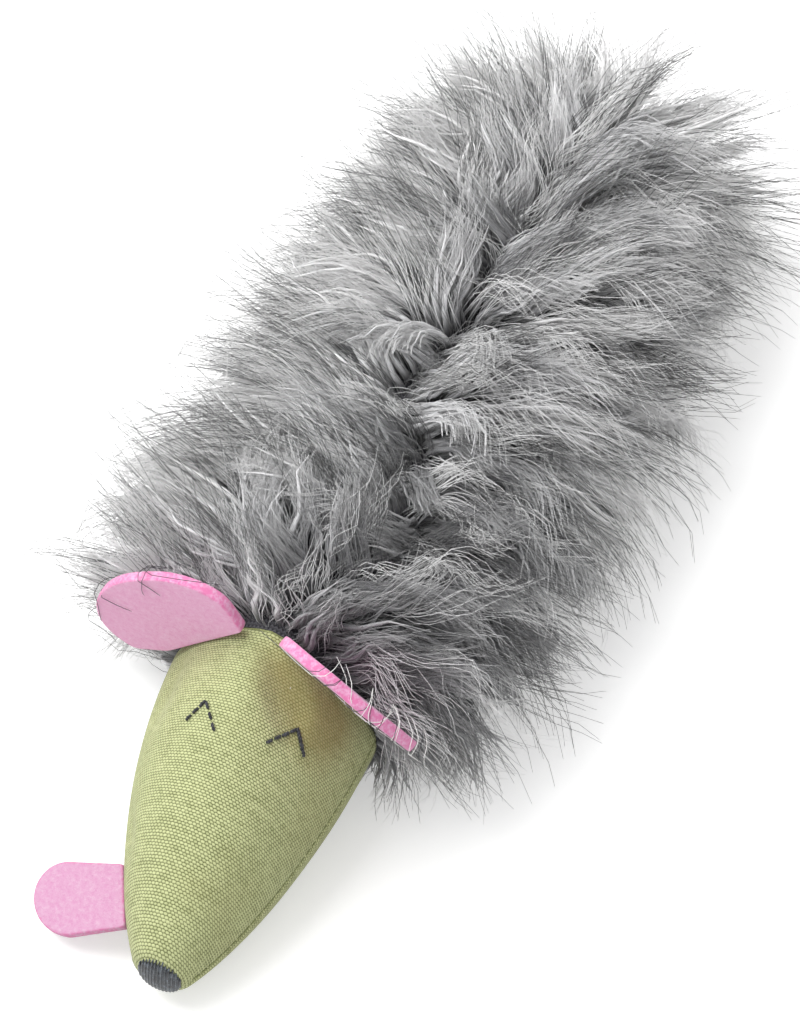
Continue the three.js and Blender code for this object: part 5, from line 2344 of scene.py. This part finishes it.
@dataclass
class Studio:
    """A plain pale floor, soft light and the camera."""

    target: Point = (-4.5, 0.0, 0.0)
    azimuth: float = 25.0
    elevation: float = 55.0
    distance: float = 1.0
    lens: float = 133.4
    floor_half: float = 6.0
    floor_tone: float = 0.75
    glow: float = 0.405

    def build(self) -> None:
        """Builds the stage, the lamps and the camera."""
        self.floor()
        self.sky()
        self.lamps()
        self.camera()

    def floor(self) -> None:
        """The floor, which shows white to the camera and keeps the toy's shadow."""
        half = self.floor_half
        mesh = bpy.data.meshes.new("floor")
        corners = [(-half, -half, 0), (half, -half, 0), (half, half, 0), (-half, half, 0)]
        mesh.from_pydata(corners, [], [(0, 1, 2, 3)])
        paint = Paint("studio_floor", {})
        mesh.materials.append(paint.material)
        strength = self.sight(paint) * self.glow
        paint.tree.nodes.remove(paint.shader)
        matt = paint.add("ShaderNodeBsdfDiffuse", {}, {"Color": (self.floor_tone,) * 3})
        white = {"Color": (1.0, 1.0, 1.0), "Strength": strength}
        light = paint.add("ShaderNodeEmission", {}, white)
        both = paint.add("ShaderNodeAddShader", {}, {0: matt.outputs[0], 1: light.outputs[0]})
        exit_node = next(n for n in paint.tree.nodes if n.type == "OUTPUT_MATERIAL")
        paint.tree.links.new(both.outputs[0], exit_node.inputs["Surface"])
        floor = bpy.data.objects.new("floor", mesh)
        bpy.context.scene.collection.objects.link(floor)

    def sight(self, tree: Tree) -> Value:
        """Tells which rays show what the camera sees, directly or in gloss or glass.

        Args:
            tree: The node tree that asks.

        Returns:
            1 for those rays, and otherwise 0.
        """
        path = tree.add("ShaderNodeLightPath")
        camera, glossy, through = (
            Value(tree, path.outputs[name])
            for name in ("Is Camera Ray", "Is Glossy Ray", "Is Transmission Ray")
        )
        return camera.least(glossy).least(through)

    def sky(self) -> None:
        """An even pale surround."""
        world = bpy.data.worlds.new("studio")
        bpy.context.scene.world = world
        world.use_nodes = True
        tree = Tree(world.node_tree)
        background = next(n for n in tree.tree.nodes if n.type == "BACKGROUND")
        background.inputs["Color"].default_value = (1.0, 1.0, 1.0, 1.0)
        tree.feed(background.inputs["Strength"], self.sight(tree) * 0.3 + 0.7)

    def lamps(self) -> None:
        """A broad soft key from the upper left and a weak fill from the right."""
        for name, place, size, power in (
            ("key", (-0.7, 0.0, 1.3), 1.1, 24.5),
            ("fill", (0.1, -1.1, 0.8), 1.2, 2.6),
        ):
            data = bpy.data.lights.new(name, "AREA")
            data.size = size
            data.energy = power
            lamp = bpy.data.objects.new(name, data)
            lamp.location = place
            lamp.rotation_euler = (-Vector(place)).to_track_quat("-Z", "Y").to_euler()
            bpy.context.scene.collection.objects.link(lamp)

    def camera(self) -> None:
        """The camera at the photograph's viewing angle."""
        turn, rise = math.radians(self.azimuth), math.radians(self.elevation)
        away = Vector(
            (math.sin(turn) * math.cos(rise), -math.cos(turn) * math.cos(rise), math.sin(rise))
        )
        data = bpy.data.cameras.new("camera")
        data.lens = self.lens
        data.sensor_width = 36.0
        data.clip_start = 0.05
        eye = bpy.data.objects.new("camera", data)
        eye.location = Vector(placed(self.target)) + away * self.distance
        eye.rotation_euler = (-away).to_track_quat("-Z", "Y").to_euler()
        bpy.context.scene.collection.objects.link(eye)
        bpy.context.scene.camera = eye
        bpy.context.scene.view_settings.view_transform = "Standard"


def report(piece: Object) -> None:
    """Logs a finished piece."""
    mesh = piece.data
    triangles = sum(len(face.vertices) - 2 for face in mesh.polygons)
    log.info("%s: %d points, %d triangles", piece.name, len(mesh.vertices), triangles)


def flaps(wardrobe: Wardrobe) -> list[FeltFlap]:
    """The two ears and the tongue."""
    return [
        FeltFlap(
            "left_ear",
            wardrobe.felt,
            JOINTS["left_ear_fold"],
            AXES["left_ear_fold"],
            (-0.7255, -0.0349, 0.6874),
            ear_rim(),
            curl=-0.8,
            cup=0.5,
            strays=(Strays("black", 6, wardrobe.dark_thread, 11.0),),
            seed=1,
        ),
        FeltFlap(
            "right_ear",
            wardrobe.felt,
            JOINTS["right_ear_fold"],
            -AXES["right_ear_fold"],
            (0.499, -0.5299, 0.6857),
            ear_rim(radius_x=21.0),
            curl=-0.6,
            cup=-0.6,
            front=1.0,
            strays=(
                Strays("black", 8, wardrobe.dark_thread, 12.0),
                Strays("pale", 12, wardrobe.stuffing, 8.0),
            ),
            seed=2,
        ),
        FeltFlap(
            "tongue",
            wardrobe.tongue_felt,
            JOINTS["tongue_fold"],
            -AXES["tongue_fold"],
            (-0.8545, -0.3677, -0.367),
            tongue_rim(),
            curl=0.5,
            seed=3,
        ),
    ]


def main() -> None:
    """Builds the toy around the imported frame, then the studio."""
    logging.basicConfig(level=logging.INFO, format="%(name)s: %(message)s", stream=sys.stdout)
    wardrobe = Wardrobe()
    Head(wardrobe).build()
    for flap in flaps(wardrobe):
        flap.build()
    sleeve = Sleeve(wardrobe)
    sleeve.build()
    Pile(wardrobe, sleeve).build()
    Insides(wardrobe).build()
    Studio().build()


if __name__ == "__main__":
    main()
